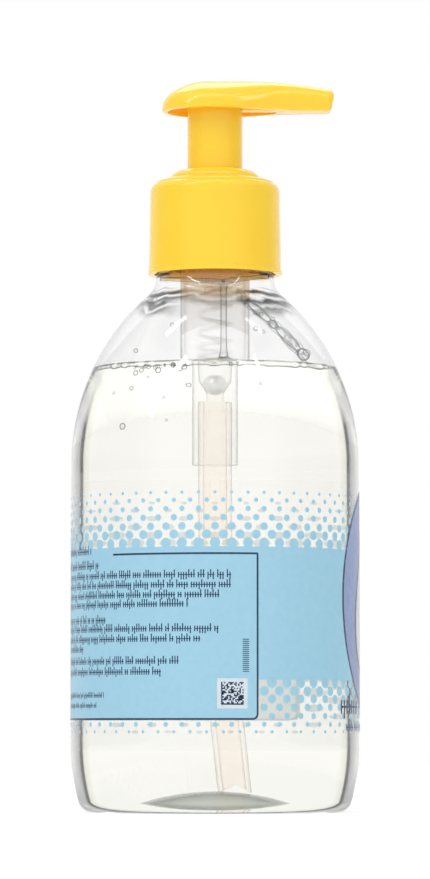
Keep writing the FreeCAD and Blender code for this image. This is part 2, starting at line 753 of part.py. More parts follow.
def make_stem():
    """Hollow stem with a driving collar and inlet notches at its foot."""
    body = new_body("stem")
    hub_top = hub_bottom + size["piston_hub_height"]
    collar_foot = hub_top + size["valve_slip"] + size["piston_seat_gap"]
    collar_head = collar_foot + size["stem_collar_height"]
    foot = plug_top + size["plug_fit"]
    corners = [
        (size["stem_bore"], foot),
        (size["stem_radius"], foot),
        (size["stem_radius"], collar_foot),
        (size["stem_collar_radius"], collar_foot),
        (size["stem_collar_radius"], collar_head - size["stem_collar_height"] / 3),
        (size["stem_radius"], collar_head),
        (size["stem_radius"], stem_top),
        (size["stem_bore"], stem_top),
    ]
    turned(body, "stem_tube", corners)
    half = size["port_width"] / 2
    out = size["stem_radius"] + OVERCUT
    notch = [(0, -half), (out, -half), (out, half), (0, half)]
    sketch = sketched(body, "port_outline", "XY_Plane", notch, foot)
    port = feature_of(
        body, "Pocket", "inlet_port", sketch, Length=size["port_height"], Reversed=True
    )
    repeated(body, port, "inlet_ports", size["port_count"])
    return body


def make_plug():
    """Plug pressed into the stem's foot: its flange shuts the piston, its flutes pass soap."""
    body = new_body("stem_plug")
    shank = size["stem_bore"] - size["plug_fit"]
    ease = size["stem_bore"] / 4
    spigot_foot = plug_bottom - size["spigot_length"]
    corners = [
        (0, spigot_foot),
        (size["spigot_radius"] - ease, spigot_foot),
        (size["spigot_radius"], spigot_foot + ease),
        (size["spigot_radius"], plug_bottom),
        (size["plug_flange_radius"], plug_bottom),
        (size["plug_flange_radius"], plug_top - size["plug_flange_height"] / 3),
        (size["stem_radius"] + size["piston_hub_gap"], plug_top),
        (shank, plug_top),
        (shank, plug_top + size["plug_shank"] - ease),
        (shank - ease, plug_top + size["plug_shank"]),
        (0, plug_top + size["plug_shank"]),
    ]
    turned(body, "plug", corners)
    half = size["plug_flute"] / 2
    inner = size["stem_bore"] - size["plug_flute_depth"]
    outer = size["stem_bore"] + half
    flute = [(inner, -half), (outer, -half), (outer, half), (inner, half)]
    sketch = sketched(body, "flute_outline", "XY_Plane", flute, plug_top)
    run = size["plug_shank"] + OVERCUT
    cut = feature_of(body, "Pocket", "flute", sketch, Length=run, Reversed=True)
    repeated(body, cut, "flutes", size["port_count"])
    return body


def make_piston():
    """Piston with two wiping lips, which slips on the stem to open and shut the valve."""
    body = new_body("piston")
    skirt_out, lip = size["piston_skirt_radius"], size["piston_lip_radius"]
    skirt_in = skirt_out - size["piston_skirt_wall"]
    bottom, top = hub_bottom, piston_top
    lip_height = size["piston_lip_height"]
    edge = size["piston_skirt_wall"] / 3
    hub_in = size["stem_radius"] + size["piston_hub_gap"]
    hub_out = size["piston_hub_radius"]
    hub_top = bottom + size["piston_hub_height"]
    web_bottom = bottom + size["piston_height"] / 2
    web_top = web_bottom + size["piston_web"]
    corners = [
        (hub_in, bottom),
        (hub_out, bottom),
        (hub_out, web_bottom),
        (skirt_in, web_bottom),
        (skirt_in, bottom + lip_height),
        (lip - edge, bottom),
        (lip, bottom),
        (lip, bottom + edge),
        (skirt_out, bottom + lip_height),
        (skirt_out, top - lip_height),
        (lip, top - edge),
        (lip, top),
        (lip - edge, top),
        (skirt_in, top - lip_height),
        (skirt_in, web_top),
        (hub_out, web_top),
        (hub_out, hub_top),
        (hub_in, hub_top),
    ]
    turned(body, "piston_profile", corners)
    return body


def make_spring():
    """Compression spring between the chamber's floor and the plug's flange."""
    body = new_body("spring")
    half_wire = size["spring_wire"] / 2
    start = chamber_bottom + size["spring_end_gap"] + half_wire
    finish = plug_bottom - size["spring_end_gap"] - half_wire
    section = []
    for number in range(WIRE_FLATS):
        turn = 2 * math.pi * (number + 0.5) / WIRE_FLATS
        across = size["spring_mean_radius"] + half_wire * math.cos(turn)
        section.append((across, start + half_wire * math.sin(turn)))
    sketch = sketched(body, "wire_section", "XZ_Plane", section)
    helix = body.newObject("PartDesign::AdditiveHelix", "coils")
    helix.Profile = sketch
    helix.ReferenceAxis = (sketch, ["V_Axis"])
    helix.Mode = "height-turns-angle"
    bind(helix, "Height", finish - start)
    bind(helix, "Turns", size["spring_coils"])
    document.recompute()
    return body


def arch(half_width, height, upright, base, inset):
    """Corners of a three-centred arch on upright edges, from its right foot to its left.

    The corner arcs stand upright at the springing and the crown arc is level at the
    top. All three meet tangentially, and inset moves the whole arch inwards.
    """
    rise = height - upright
    corner = rise * CORNER_SHARE
    crown = (half_width * half_width - 2 * half_width * corner + rise * rise) / (
        2 * (rise - corner)
    )
    share = corner / (crown - corner)
    meet_across = (half_width - corner) * (1 + share)
    meet_up = (crown - rise) * share
    spring_line = base + upright
    corner, crown = corner - inset, crown - inset
    centre_across = half_width - (corner + inset)
    scale = corner / (corner + inset)
    meet_across = centre_across + (meet_across - centre_across) * scale
    meet_up = meet_up * scale
    edge = half_width - inset
    return [
        (edge, base),
        (edge, spring_line, corner, 1),
        (meet_across, spring_line + meet_up, crown, 1),
        (-meet_across, spring_line + meet_up, corner, 1),
        (-edge, spring_line),
        (-edge, base),
    ]


def station_arch(name, inset):
    """The arch of one of the head's stations."""
    return arch(
        size[f"{name}_half_width"],
        size[f"{name}_height"],
        size[f"{name}_upright"],
        size["head_rim_height"],
        inset,
    )


def saddle(body, prefix, inset, stations, dome_kind, loft_kind):
    """Round back and lofted spout of the head, or the hollow inside them."""
    centre = size["back_along"]
    full = station_arch("back", inset)
    crown_top = size["head_rim_height"] + size["back_height"] - inset
    half = [(0, size["head_rim_height"]), *full[:2], (*full[2][:4],), (0, crown_top)]
    back = sketched(body, f"{prefix}_back_outline", "YZ_Plane", half, centre)
    feature_of(
        body, dome_kind, f"{prefix}_back", back, ReferenceAxis=(back, ["V_Axis"]), Angle=180.0
    )
    sections = [
        sketched(
            body,
            f"{prefix}_{name}",
            "YZ_Plane",
            station_arch(name, inset),
            size[f"{name}_along"],
        )
        for name, *_ in stations
    ]
    loft = feature_of(body, loft_kind, f"{prefix}_spout", sections[0], Sections=sections[1:])
    return loft


def make_head():
    """Saddle head: domed back, tapering spout, sleeve, stem post and outlet in one moulding."""
    body = new_body("pump_head")
    saddle(body, "skin", sized(0), HEAD_STATIONS, "Revolution", "AdditiveLoft")
    hollow = HEAD_STATIONS[:HOLLOW_STATIONS]
    saddle(body, "hollow", size["head_wall"], hollow, "Groove", "SubtractiveLoft")
    rim = size["head_rim_height"]
    roof = rim + size["back_height"] - size["head_wall"] / 2
    sleeve_foot = piston_top + size["sleeve_foot_gap"]
    sleeve_roof = roof - size["head_wall"]
    ring = [
        (size["sleeve_bore"], sleeve_foot),
        (size["sleeve_radius"], sleeve_foot),
        (size["sleeve_radius"], sleeve_roof),
        (size["sleeve_bore"], sleeve_roof),
    ]
    turned(body, "sleeve", ring)
    post_foot = rim - size["post_drop"]
    post = [(0, post_foot), (size["post_radius"], post_foot), (size["post_radius"], roof), (0, roof)]
    turned(body, "stem_post", post)
    half_rib = size["channel_width"] / 2
    rib_foot = outlet_level - half_rib
    rib = [
        (-half_rib, rib_foot),
        (half_rib, rib_foot),
        (half_rib, rim + size["channel_height"]),
        (-half_rib, rim + size["channel_height"]),
    ]
    sketch = sketched(body, "channel_outline", "YZ_Plane", rib, sized(0))
    feature_of(body, "Pad", "outlet_channel", sketch, Length=size["channel_length"])
    grip = size["stem_radius"] + size["plug_fit"]
    socket = [
        (0, post_foot - OVERCUT),
        (grip, post_foot - OVERCUT),
        (grip, stem_top + size["plug_fit"]),
        (size["stem_bore"], stem_top + size["plug_fit"]),
        (size["stem_bore"], outlet_level),
        (0, outlet_level),
    ]
    turned(body, "stem_socket", socket, kind="Groove")
    bore = new_sketch(body, "outlet_outline", "YZ_Plane", sized(0))
    draw_circle(bore, 0, outlet_level, size["outlet_bore"])
    document.recompute()
    through = size["tip_along"] + OVERCUT
    feature_of(body, "Pocket", "outlet", bore, Length=through, Reversed=True)
    tip, lean = size["tip_along"], size["tip_slant"]
    high = rim + size["brink_height"]
    low = rim - OVERCUT
    ahead = tip + OVERCUT
    face = [(tip - lean, low), (ahead, low), (ahead, high), (tip, high)]
    sketch = sketched(body, "face_outline", "XZ_Plane", face)
    wide = 2 * (size["brink_half_width"] + OVERCUT)
    feature_of(body, "Pocket", "slanted_face", sketch, Length=wide, Midplane=True)
    return body


def faults_of(pieces):
    """Names every object that failed to build and every piece that isn't one sound solid."""
    faults = [
        f"{item.Name}: {', '.join(item.State)}"
        for item in document.Objects
        if {"Invalid", "Error"} & set(item.State)
    ]
    for piece in pieces:
        shape = piece.Shape
        if shape.isNull() or not shape.isValid() or len(shape.Solids) != 1:
            faults.append(f"{piece.Label}: its shape isn't one valid solid")
    return faults


makers = [
    make_bottle,
    make_label,
    make_soap,
    make_gasket,
    make_housing,
    make_ball,
    make_tube,
    make_lock_ring,
    make_collar,
    make_stem,
    make_plug,
    make_piston,
    make_spring,
    make_head,
]
pieces = [make() for make in makers]
document.recompute()
problems = faults_of(pieces)
if problems:
    raise RuntimeError("; ".join(problems))

os.makedirs("parts", exist_ok=True)
for piece in pieces:
    piece.Shape.exportStep(f"parts/{piece.Label}.step")
    box = piece.Shape.BoundBox
    print(
        f"{piece.Label}: {piece.Shape.Volume:.1f} mm3, "
        f"x {box.XMin:.2f}..{box.XMax:.2f}, z {box.ZMin:.2f}..{box.ZMax:.2f}"
    )
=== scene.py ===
"""Looks of a clear hand soap bottle with a yellow lotion pump, built round its CAD frame.

The classes hold their sizes in millimetres, with heights up from the table, the bottle's axis
on +Z and the nozzle along +X. A surface becomes metres when it is made a piece.
"""
import json
import logging
import math
from dataclasses import dataclass, field
from enum import Enum

import bmesh
import bpy
import numpy as np
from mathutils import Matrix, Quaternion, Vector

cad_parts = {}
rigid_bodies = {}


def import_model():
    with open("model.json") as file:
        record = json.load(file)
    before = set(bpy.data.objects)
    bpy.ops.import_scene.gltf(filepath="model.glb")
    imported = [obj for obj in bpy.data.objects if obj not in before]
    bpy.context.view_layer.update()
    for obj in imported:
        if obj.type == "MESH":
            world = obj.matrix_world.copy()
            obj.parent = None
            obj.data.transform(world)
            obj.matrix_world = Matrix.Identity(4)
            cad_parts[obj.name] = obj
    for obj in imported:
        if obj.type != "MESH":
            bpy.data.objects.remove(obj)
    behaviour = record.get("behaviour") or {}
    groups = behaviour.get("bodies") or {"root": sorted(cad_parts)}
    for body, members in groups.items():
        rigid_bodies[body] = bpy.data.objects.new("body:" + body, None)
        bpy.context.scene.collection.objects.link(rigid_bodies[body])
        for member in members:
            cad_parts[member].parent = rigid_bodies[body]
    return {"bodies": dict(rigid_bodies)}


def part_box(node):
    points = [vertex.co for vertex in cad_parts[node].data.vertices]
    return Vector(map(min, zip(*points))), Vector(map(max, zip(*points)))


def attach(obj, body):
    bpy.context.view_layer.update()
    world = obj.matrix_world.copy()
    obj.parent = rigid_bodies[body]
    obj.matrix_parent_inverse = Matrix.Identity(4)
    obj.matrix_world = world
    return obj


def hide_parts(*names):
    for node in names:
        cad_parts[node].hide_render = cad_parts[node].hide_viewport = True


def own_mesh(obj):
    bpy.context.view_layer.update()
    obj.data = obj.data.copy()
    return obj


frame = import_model()

LOG = logging.getLogger("soap_bottle")
METRES = 0.001  # one millimetre
THREAD_PITCH = 4.233  # six turns to the inch
THREAD_TURNS = 1.5
CREASE = 38.0  # edges that turn more than this, in degrees, stay sharp
Tree = bpy.types.NodeTree
Feed = bpy.types.Node | bpy.types.NodeSocket
Corners = list[tuple[float, ...]]


# ---------------------------------------------------------------- colour and nodes


def linear_colour(hex_text: str) -> tuple[float, float, float, float]:
    """Turns an sRGB hex value to linear light.

    Args:
        hex_text: six hex digits after a hash sign.

    Returns:
        Linear red, green and blue with an alpha of one.
    """
    values = [int(hex_text[at : at + 2], 16) / 255 for at in (1, 3, 5)]
    linear = [v / 12.92 if v <= 0.04045 else ((v + 0.055) / 1.055) ** 2.4 for v in values]
    return (*linear, 1.0)


def add_node(
    tree: Tree,
    kind: str,
    inputs: dict | None = None,
    stops: tuple[tuple[float, str], ...] = (),
    **settings: object,
) -> bpy.types.Node:
    """Adds one node, sets it up and links it.

    Args:
        tree: the node tree it goes in.
        kind: the node's type name.
        inputs: socket name or number to what it takes: a plain value, an sRGB hex colour, the
            output that feeds it, or a node whose first live output does.
        stops: a colour ramp's pairs of position and sRGB hex colour, in rising order.
        **settings: the node's own properties.

    Returns:
        The new node.
    """
    node = tree.nodes.new(kind)
    for key, value in settings.items():
        setattr(node, key, value)
    for key, value in (inputs or {}).items():
        if isinstance(value, bpy.types.Node):
            value = next(output for output in value.outputs if output.enabled)
        if isinstance(value, bpy.types.NodeSocket):
            tree.links.new(value, node.inputs[key])
        else:
            node.inputs[key].default_value = linear_colour(value) if isinstance(value, str) else value
    elements = node.color_ramp.elements if stops else ()
    while len(elements) < len(stops):
        elements.new(0.5)
    for element, (position, colour) in zip(elements, stops):
        element.position = position
        element.color = linear_colour(colour)
    return node


def blank_tree(holder: bpy.types.Material | bpy.types.World) -> Tree:
    """Gives a new material or world an empty node tree.

    Args:
        holder: the material or world.

    Returns:
        Its node tree.
    """
    holder.use_nodes = True
    holder.node_tree.nodes.clear()
    return holder.node_tree


def grain_bump(tree: Tree, grain_mm: float, depth_mm: float, strength: float) -> Feed:
    """Fine unevenness of a surface as a bump.

    Args:
        tree: the node tree it goes in.
        grain_mm: width of one grain.
        depth_mm: depth from crest to hollow.
        strength: share of the bump that shows.

    Returns:
        The bump node.
    """
    place = add_node(tree, "ShaderNodeTexCoord").outputs["Object"]
    noise = add_node(tree, "ShaderNodeTexNoise", {"Vector": place, "Scale": 1 / (grain_mm * METRES)})
    inputs = {"Height": noise, "Distance": depth_mm * METRES, "Strength": strength}
    return add_node(tree, "ShaderNodeBump", inputs)


def height_share(tree: Tree, start: float, end: float) -> Feed:
    """Share that grows from nought to one between two heights.

    Args:
        tree: the node tree it goes in.
        start: height in millimetres where the share is nought.
        end: height in millimetres where it is one; it may be the lower of the two.

    Returns:
        The node that gives the share.
    """
    place = add_node(tree, "ShaderNodeTexCoord").outputs["Object"]
    height = add_node(tree, "ShaderNodeSeparateXYZ", {"Vector": place}).outputs["Z"]
    inputs = {"Value": height, "From Min": start * METRES, "From Max": end * METRES}
    return add_node(tree, "ShaderNodeMapRange", inputs)


def light_rays(tree: Tree) -> Feed:
    """Picks out the rays that carry light to what lies inside: shadow and diffuse rays.

    Args:
        tree: the node tree it goes in.

    Returns:
        The node that gives one for those rays and nought for the rest.
    """
    rays = add_node(tree, "ShaderNodeLightPath").outputs
    either = {0: rays["Is Shadow Ray"], 1: rays["Is Diffuse Ray"]}
    return add_node(tree, "ShaderNodeMath", either, operation="MAXIMUM")


def clear_to_light(tree: Tree, shader: Feed, tint: str) -> Feed:
    """Lets shadow and diffuse rays straight through a clear body, as real light reaches inside.

    Args:
        tree: the node tree it goes in.
        shader: the refracting shader that the eye sees.
        tint: sRGB hex colour that the passing light keeps.

    Returns:
        The mixed shader.
    """
    through = add_node(tree, "ShaderNodeBsdfTransparent", {"Color": tint})
    return add_node(tree, "ShaderNodeMixShader", {"Fac": light_rays(tree), 1: shader, 2: through})


# ---------------------------------------------------------------- finishes


@dataclass(frozen=True)
class Finish:
    """A material with a real name; each kind of finish draws its own surface."""

    name: str

    def surface(self, tree: Tree) -> Feed:
        """Draws the shader and returns its node."""
        raise NotImplementedError

    def material(self) -> bpy.types.Material:
        """Makes the finish's material the first time, and finds it after that.

        Returns:
            The material.
        """
        found = bpy.data.materials.get(self.name)
        if found is None:
            found = bpy.data.materials.new(self.name)
            tree = blank_tree(found)
            add_node(tree, "ShaderNodeOutputMaterial", {"Surface": self.surface(tree)})
        return found


@dataclass(frozen=True)
class MouldedPlastic(Finish):
    """Polypropylene from a polished mould: opaque, waxy gloss, a little light under the skin."""

    deep: str = "#FCCD33"
    pale: str = "#FDD038"
    roughness: float = 0.15
    flow_mm: float = 24.0
    grain_mm: float = 2.5

    def surface(self, tree: Tree) -> Feed:
        """Slow drifts of tone where the melt flowed, over a fine satin unevenness.

        Args:
            tree: the material's node tree.

        Returns:
            The shader.
        """
        place = add_node(tree, "ShaderNodeTexCoord").outputs["Object"]
        scale = 1 / (self.flow_mm * METRES)
        flow = add_node(tree, "ShaderNodeTexNoise", {"Vector": place, "Scale": scale, "Detail": 1.0})
        tones = ((0.3, self.deep), (0.7, self.pale))
        satin = {"Value": flow, "To Min": self.roughness * 0.85, "To Max": self.roughness * 1.2}
        return add_node(
            tree,
            "ShaderNodeBsdfPrincipled",
            {
                "Base Color": add_node(tree, "ShaderNodeValToRGB", {"Fac": flow}, tones),
                "Roughness": add_node(tree, "ShaderNodeMapRange", satin),
                "IOR": 1.49,
                "Subsurface Weight": 0.45,
                "Subsurface Radius": (1.0, 0.72, 0.12),
                "Subsurface Scale": 1.6 * METRES,
                "Normal": grain_bump(tree, self.grain_mm, 0.01, 0.2),
            },
        )


@dataclass(frozen=True)
class BlownPet(Finish):
    """Stretch-blown PET: glass clear, with painted shade: a dark line inside the edge of the wetted wall,
    grey edges above the soap and dark streaks under the neck.
    """

    wet_top: float = 99.0
    neck_shade_foot: float = 110.5
    # wetted: painted shade, a dark line just inside the edge of the wall below the soap's level
    wetted: tuple[tuple[float, str], ...] = (
        (0.50, "#FFFFFF"), (0.585, "#D6D8CC"), (0.61, "#121211"), (0.645, "#1C1C1B"),
        (0.67, "#77767C"), (0.75, "#AEAEBA"), (0.86, "#F2F2F6"), (1.00, "#FFFFFF"),
    )
    # painted grey shade at the edges of the wall above the soap
    dry_edge_shade: tuple[tuple[float, str], ...] = (
        (0.70, "#FFFFFF"), (0.86, "#E6E7EC"), (0.95, "#D5D6DE"), (1.0, "#F2F2F5")
    )
    # streaks: bands of painted shade under the neck
    streaks: tuple[tuple[float, str], ...] = (
        (0.34, "#000000"), (0.46, "#E0E0E0"), (0.56, "#FFFFFF"), (0.64, "#282828"), (0.72, "#FFFFFF"),
        (0.82, "#FFFFFF"), (0.90, "#303030"), (0.97, "#D0D0D0"), (1.00, "#000000"),
    )

    def painted_neck_shade(self, tree: Tree, facing: Feed) -> Feed:
        """Share of the painted dark streaks of shade under the neck, where the wall's sharp bend turns the
        light away.

        They lie in wavy bands up the neck's foot, only where the wall turns a little away.

        Args:
            tree: the material's node tree.
            facing: how far the wall turns away.

        Returns:
            The node that gives the share.
        """
        foot = self.neck_shade_foot
        place = add_node(tree, "ShaderNodeTexCoord").outputs["Object"]
        noise = add_node(tree, "ShaderNodeTexNoise", {"Vector": place, "Scale": 1 / (9 * METRES)})
        across = height_share(tree, foot, foot + 8.0)
        wavy = add_node(tree, "ShaderNodeMath", {0: noise, 1: 0.7, 2: across}, operation="MULTIPLY_ADD")
        away = {0: across, 1: -0.28, 2: facing}
        away = add_node(tree, "ShaderNodeMath", away, operation="MULTIPLY_ADD")
        aside = {"Value": away, "From Min": 0.19, "From Max": 0.36}
        aside = add_node(tree, "ShaderNodeMapRange", aside)
        ends = {0: height_share(tree, foot, foot + 1.5), 1: height_share(tree, foot + 8.5, foot + 7.0)}
        ends = add_node(tree, "ShaderNodeMath", ends, operation="MULTIPLY")
        share = add_node(tree, "ShaderNodeMath", {0: aside, 1: ends}, operation="MULTIPLY")
        bands = add_node(tree, "ShaderNodeValToRGB", {"Fac": wavy}, self.streaks)
        return add_node(tree, "ShaderNodeMath", {0: share, 1: bands}, operation="MULTIPLY")

    def surface(self, tree: Tree) -> Feed:
        """Clear face on, with a painted dark line of shade along the edge of the wetted wall, painted grey
        edges above the soap, painted dark streaks under the neck and a faint blown ripple.

        Args:
            tree: the material's node tree.

        Returns:
            The shader.
        """
        # The facing ramps paint shade into the glass's colour where the wall turns away from the eye.
        facing = add_node(tree, "ShaderNodeLayerWeight", {"Blend": 0.5}).outputs["Facing"]
        layers = {
            "Factor": height_share(tree, self.wet_top, self.wet_top - 14.0),
            6: add_node(tree, "ShaderNodeValToRGB", {"Fac": facing}, self.dry_edge_shade),
            7: add_node(tree, "ShaderNodeValToRGB", {"Fac": facing}, self.wetted),
        }
        tint = add_node(tree, "ShaderNodeMix", layers, data_type="RGBA")
        # 181817 is the painted shade of the streaks under the neck.
        layers = {"Factor": self.painted_neck_shade(tree, facing), 6: tint, 7: "#181817"}
        body = {
            "Base Color": add_node(tree, "ShaderNodeMix", layers, data_type="RGBA"),
            "Roughness": 0.0,
            "IOR": 1.43,
            "Transmission Weight": 1.0,
            "Normal": grain_bump(tree, 26.0, 0.12, 0.12),
        }
        return clear_to_light(tree, add_node(tree, "ShaderNodeBsdfPrincipled", body), "#FCFCFD")


@dataclass(frozen=True)
class ClearSoap(Finish):
    """Clear liquid soap with the faintest cream cast."""

    tint: str = "#FEFDF7"

    def surface(self, tree: Tree) -> Feed:
        """Refracts like strong soapy water and holds nothing but its cast."""
        body = {"Base Color": self.tint, "Roughness": 0.0, "IOR": 1.345, "Transmission Weight": 1.0}
        return clear_to_light(tree, add_node(tree, "ShaderNodeBsdfPrincipled", body), "#FEFDFB")


@dataclass(frozen=True)
class MilkyPlastic(Finish):
    """Unpigmented polyolefin: milky in air, far clearer where the soap wets it."""

    face: str = "#FFFFFE"
    # edge: painted grey shade where the wall turns away from the eye
    edge: str = "#868D92"
    tint: str = "#FFFFFF"
    dry_cover: float = 0.27
    wet_cover: float = 0.15
    edge_cover: float = 0.62
    soap_level: float = 98.4
    painted_light_foot: float = 112.5
    # glow: painted yellow light from the collar, not an emission
    glow: str = "#F0C04C"

    def surface(self, tree: Tree) -> Feed:
        """Mixes a scattering skin with clear passage, denser where the wall turns away, where its colour
        turns to painted grey shade.

        Near the collar the skin is painted with yellow light that stands in for the collar's colour
        shining through.

        Args:
            tree: the material's node tree.

        Returns:
            The shader.
        """
        # The facing ramp paints grey shade along the edges.
        facing = add_node(tree, "ShaderNodeLayerWeight", {"Blend": 0.5}).outputs["Facing"]
        tones = ((0.55, self.face), (0.9, self.edge))
        # Painted yellow light near the collar, laid over the edge ramp.
        layers = {
            "Factor": height_share(tree, self.painted_light_foot, self.painted_light_foot + 7.0),
            6: add_node(tree, "ShaderNodeValToRGB", {"Fac": facing}, tones),
            7: self.glow,
        }
        colour = add_node(tree, "ShaderNodeMix", layers, data_type="RGBA")
        in_air = height_share(tree, self.soap_level - 0.3, self.soap_level + 0.3)
        plain = {"Value": in_air, "To Min": self.wet_cover, "To Max": self.dry_cover}
        away = {"Value": facing, "From Min": 0.40, "From Max": 0.95}
        cover = {
            "Value": add_node(tree, "ShaderNodeMapRange", away),
            "To Min": add_node(tree, "ShaderNodeMapRange", plain),
            "To Max": self.edge_cover,
        }
        grain = grain_bump(tree, 1.5, 0.02, 0.2)
        skin = {"Base Color": colour, "Roughness": 0.3, "IOR": 1.4, "Normal": grain}
        scattered = {
            "Fac": 0.5,
            1: add_node(tree, "ShaderNodeBsdfPrincipled", skin),
            2: add_node(tree, "ShaderNodeBsdfTranslucent", {"Color": colour}),
        }
        layers = {
            "Fac": add_node(tree, "ShaderNodeMapRange", cover),
            1: add_node(tree, "ShaderNodeBsdfTransparent", {"Color": self.tint}),
            2: add_node(tree, "ShaderNodeMixShader", scattered),
        }
        return add_node(tree, "ShaderNodeMixShader", layers)


@dataclass(frozen=True)
class LabelFilm(Finish):
    """Clear polypropylene film, glued all over: it shows only as a slightly whiter sheen."""

    haze: float = 0.05

    def surface(self, tree: Tree) -> Feed:
        """Nearly all passage, with a thin share of glossy haze.

        Args:
            tree: the material's node tree.

        Returns:
            The shader.
        """
        skin = {"Base Color": "#F4F6F8", "Roughness": 0.12, "Normal": grain_bump(tree, 3.0, 0.01, 0.2)}
        skin = add_node(tree, "ShaderNodeBsdfPrincipled", skin)
        through = add_node(tree, "ShaderNodeBsdfTransparent")
        return add_node(tree, "ShaderNodeMixShader", {"Fac": self.haze, 1: through, 2: skin})


@dataclass(frozen=True)
class FlexoInk(Finish):
    """Flexographic ink on film: even colour with a fine mottle, under the film's gloss."""

    light: str = "#B4DDEE"
    dark: str = "#AFDAEC"
    backing: str = "#F3F5F4"
    mottle_mm: float = 1.6
    passage: float = 0.35

    def surface(self, tree: Tree) -> Feed:
        """A mottled coat with a pale backing, which lets part of the scattered light in.

        Args:
            tree: the material's node tree.

        Returns:
            The shader.
        """
        place = add_node(tree, "ShaderNodeTexCoord").outputs["Object"]
        mottle = {"Vector": place, "Scale": 1 / (self.mottle_mm * METRES), "Detail": 3.0}
        mottle = add_node(tree, "ShaderNodeTexNoise", mottle)
        normal = add_node(tree, "ShaderNodeNewGeometry").outputs["True Normal"]
        outward = add_node(tree, "ShaderNodeVectorMath", {0: place, 1: normal}, operation="DOT_PRODUCT")
        inward = {"Value": outward, "From Min": 2 * METRES, "From Max": -2 * METRES}
        tones = ((0.35, self.dark), (0.65, self.light))
        layers = {
            "Factor": add_node(tree, "ShaderNodeMapRange", inward),
            6: add_node(tree, "ShaderNodeValToRGB", {"Fac": mottle}, tones),
            7: self.backing,
        }
        colour = add_node(tree, "ShaderNodeMix", layers, data_type="RGBA")
        skin = {"Base Color": colour, "Roughness": 0.22, "IOR": 1.46}
        coat = {
            "Fac": self.passage,
            1: add_node(tree, "ShaderNodeBsdfPrincipled", skin),
            2: add_node(tree, "ShaderNodeBsdfTranslucent", {"Color": colour}),
        }
        share = {0: light_rays(tree), 1: self.passage * 1.4}
        layers = {
            "Fac": add_node(tree, "ShaderNodeMath", share, operation="MULTIPLY"),
            1: add_node(tree, "ShaderNodeMixShader", coat),
            2: add_node(tree, "ShaderNodeBsdfTransparent", {"Color": colour}),
        }
        return add_node(tree, "ShaderNodeMixShader", layers)


@dataclass(frozen=True)
class BrightSteel(Finish):
    """Stainless steel, drawn or ground: bright, with fine marks along the work."""

    def surface(self, tree: Tree) -> Feed:
        """Metal under a fine grain.

        Args:
            tree: the material's node tree.

        Returns:
            The shader.
        """
        grain = grain_bump(tree, 0.25, 0.004, 0.4)
        inputs = {"Base Color": "#F2F3F4", "Metallic": 1.0, "Roughness": 0.38, "Normal": grain}
        return add_node(tree, "ShaderNodeBsdfPrincipled", inputs)


@dataclass(frozen=True)
class CellFoam(Finish):
    """Closed-cell polyethylene foam: matt white, with cells too fine to see as more than grit."""

    cell_mm: float = 0.3  # drawn twice as coarse as it is, so that it shows

    def surface(self, tree: Tree) -> Feed:
        """Matt and pitted.

        Args:
            tree: the material's node tree.

        Returns:
            The shader.
        """
        pits = grain_bump(tree, self.cell_mm, 0.05, 0.7)
        inputs = {"Base Color": "#F1F0EC", "Roughness": 0.85, "Normal": pits}
        return add_node(tree, "ShaderNodeBsdfPrincipled", inputs)


@dataclass(frozen=True)
class BubbleSkin(Finish):
    """A bubble or film border in the soap: clear in the middle, with painted dark shade round its edge."""

    # edge: painted shade on the rim
    edge: str = "#4E5558"

    def surface(self, tree: Tree) -> Feed:
        """Clear passage that gives way to a painted dark rim of shade as the skin turns away.

        Args:
            tree: the material's node tree.

        Returns:
            The shader.
        """
        facing = add_node(tree, "ShaderNodeLayerWeight", {"Blend": 0.5}).outputs["Facing"]
        cover = {"Value": facing, "From Min": 0.2, "From Max": 0.68, "To Min": 0.06, "To Max": 0.95}
        skin = {"Base Color": self.edge, "Roughness": 0.08, "IOR": 1.34}
        layers = {
            "Fac": add_node(tree, "ShaderNodeMapRange", cover),
            1: add_node(tree, "ShaderNodeBsdfTransparent"),
            2: add_node(tree, "ShaderNodeBsdfPrincipled", skin),
        }
        return add_node(tree, "ShaderNodeMixShader", layers)


@dataclass(frozen=True)
class DomeShade(Finish):
    """A thin sheet of painted shade over the base's dome: clear from above, painted grey green shade where
    seen edge on.
    """

    # tones: painted shade, pale from above and grey green where the dome tips away
    tones: tuple[tuple[float, str], ...] = (
        (0.62, "#F1EFE2"), (0.73, "#CFD0C4"), (0.82, "#7C8279"), (0.92, "#5C625A")
    )

    def surface(self, tree: Tree) -> Feed:
        """Clear passage that turns into painted grey green shade, with a gloss, as the dome tips away.

        Args:
            tree: the material's node tree.

        Returns:
            The shader.
        """
        facing = add_node(tree, "ShaderNodeLayerWeight", {"Blend": 0.5}).outputs["Facing"]
        cover = {"Value": facing, "From Min": 0.3, "From Max": 0.6, "To Min": 0.02, "To Max": 0.9}
        skin = {
            "Base Color": add_node(tree, "ShaderNodeValToRGB", {"Fac": facing}, self.tones),
            "Roughness": 0.12,
            "Normal": grain_bump(tree, 5.0, 0.25, 0.6),
        }
        layers = {
            "Fac": add_node(tree, "ShaderNodeMapRange", cover),
            1: add_node(tree, "ShaderNodeBsdfTransparent"),
            2: add_node(tree, "ShaderNodeBsdfPrincipled", skin),
        }
        return add_node(tree, "ShaderNodeMixShader", layers)


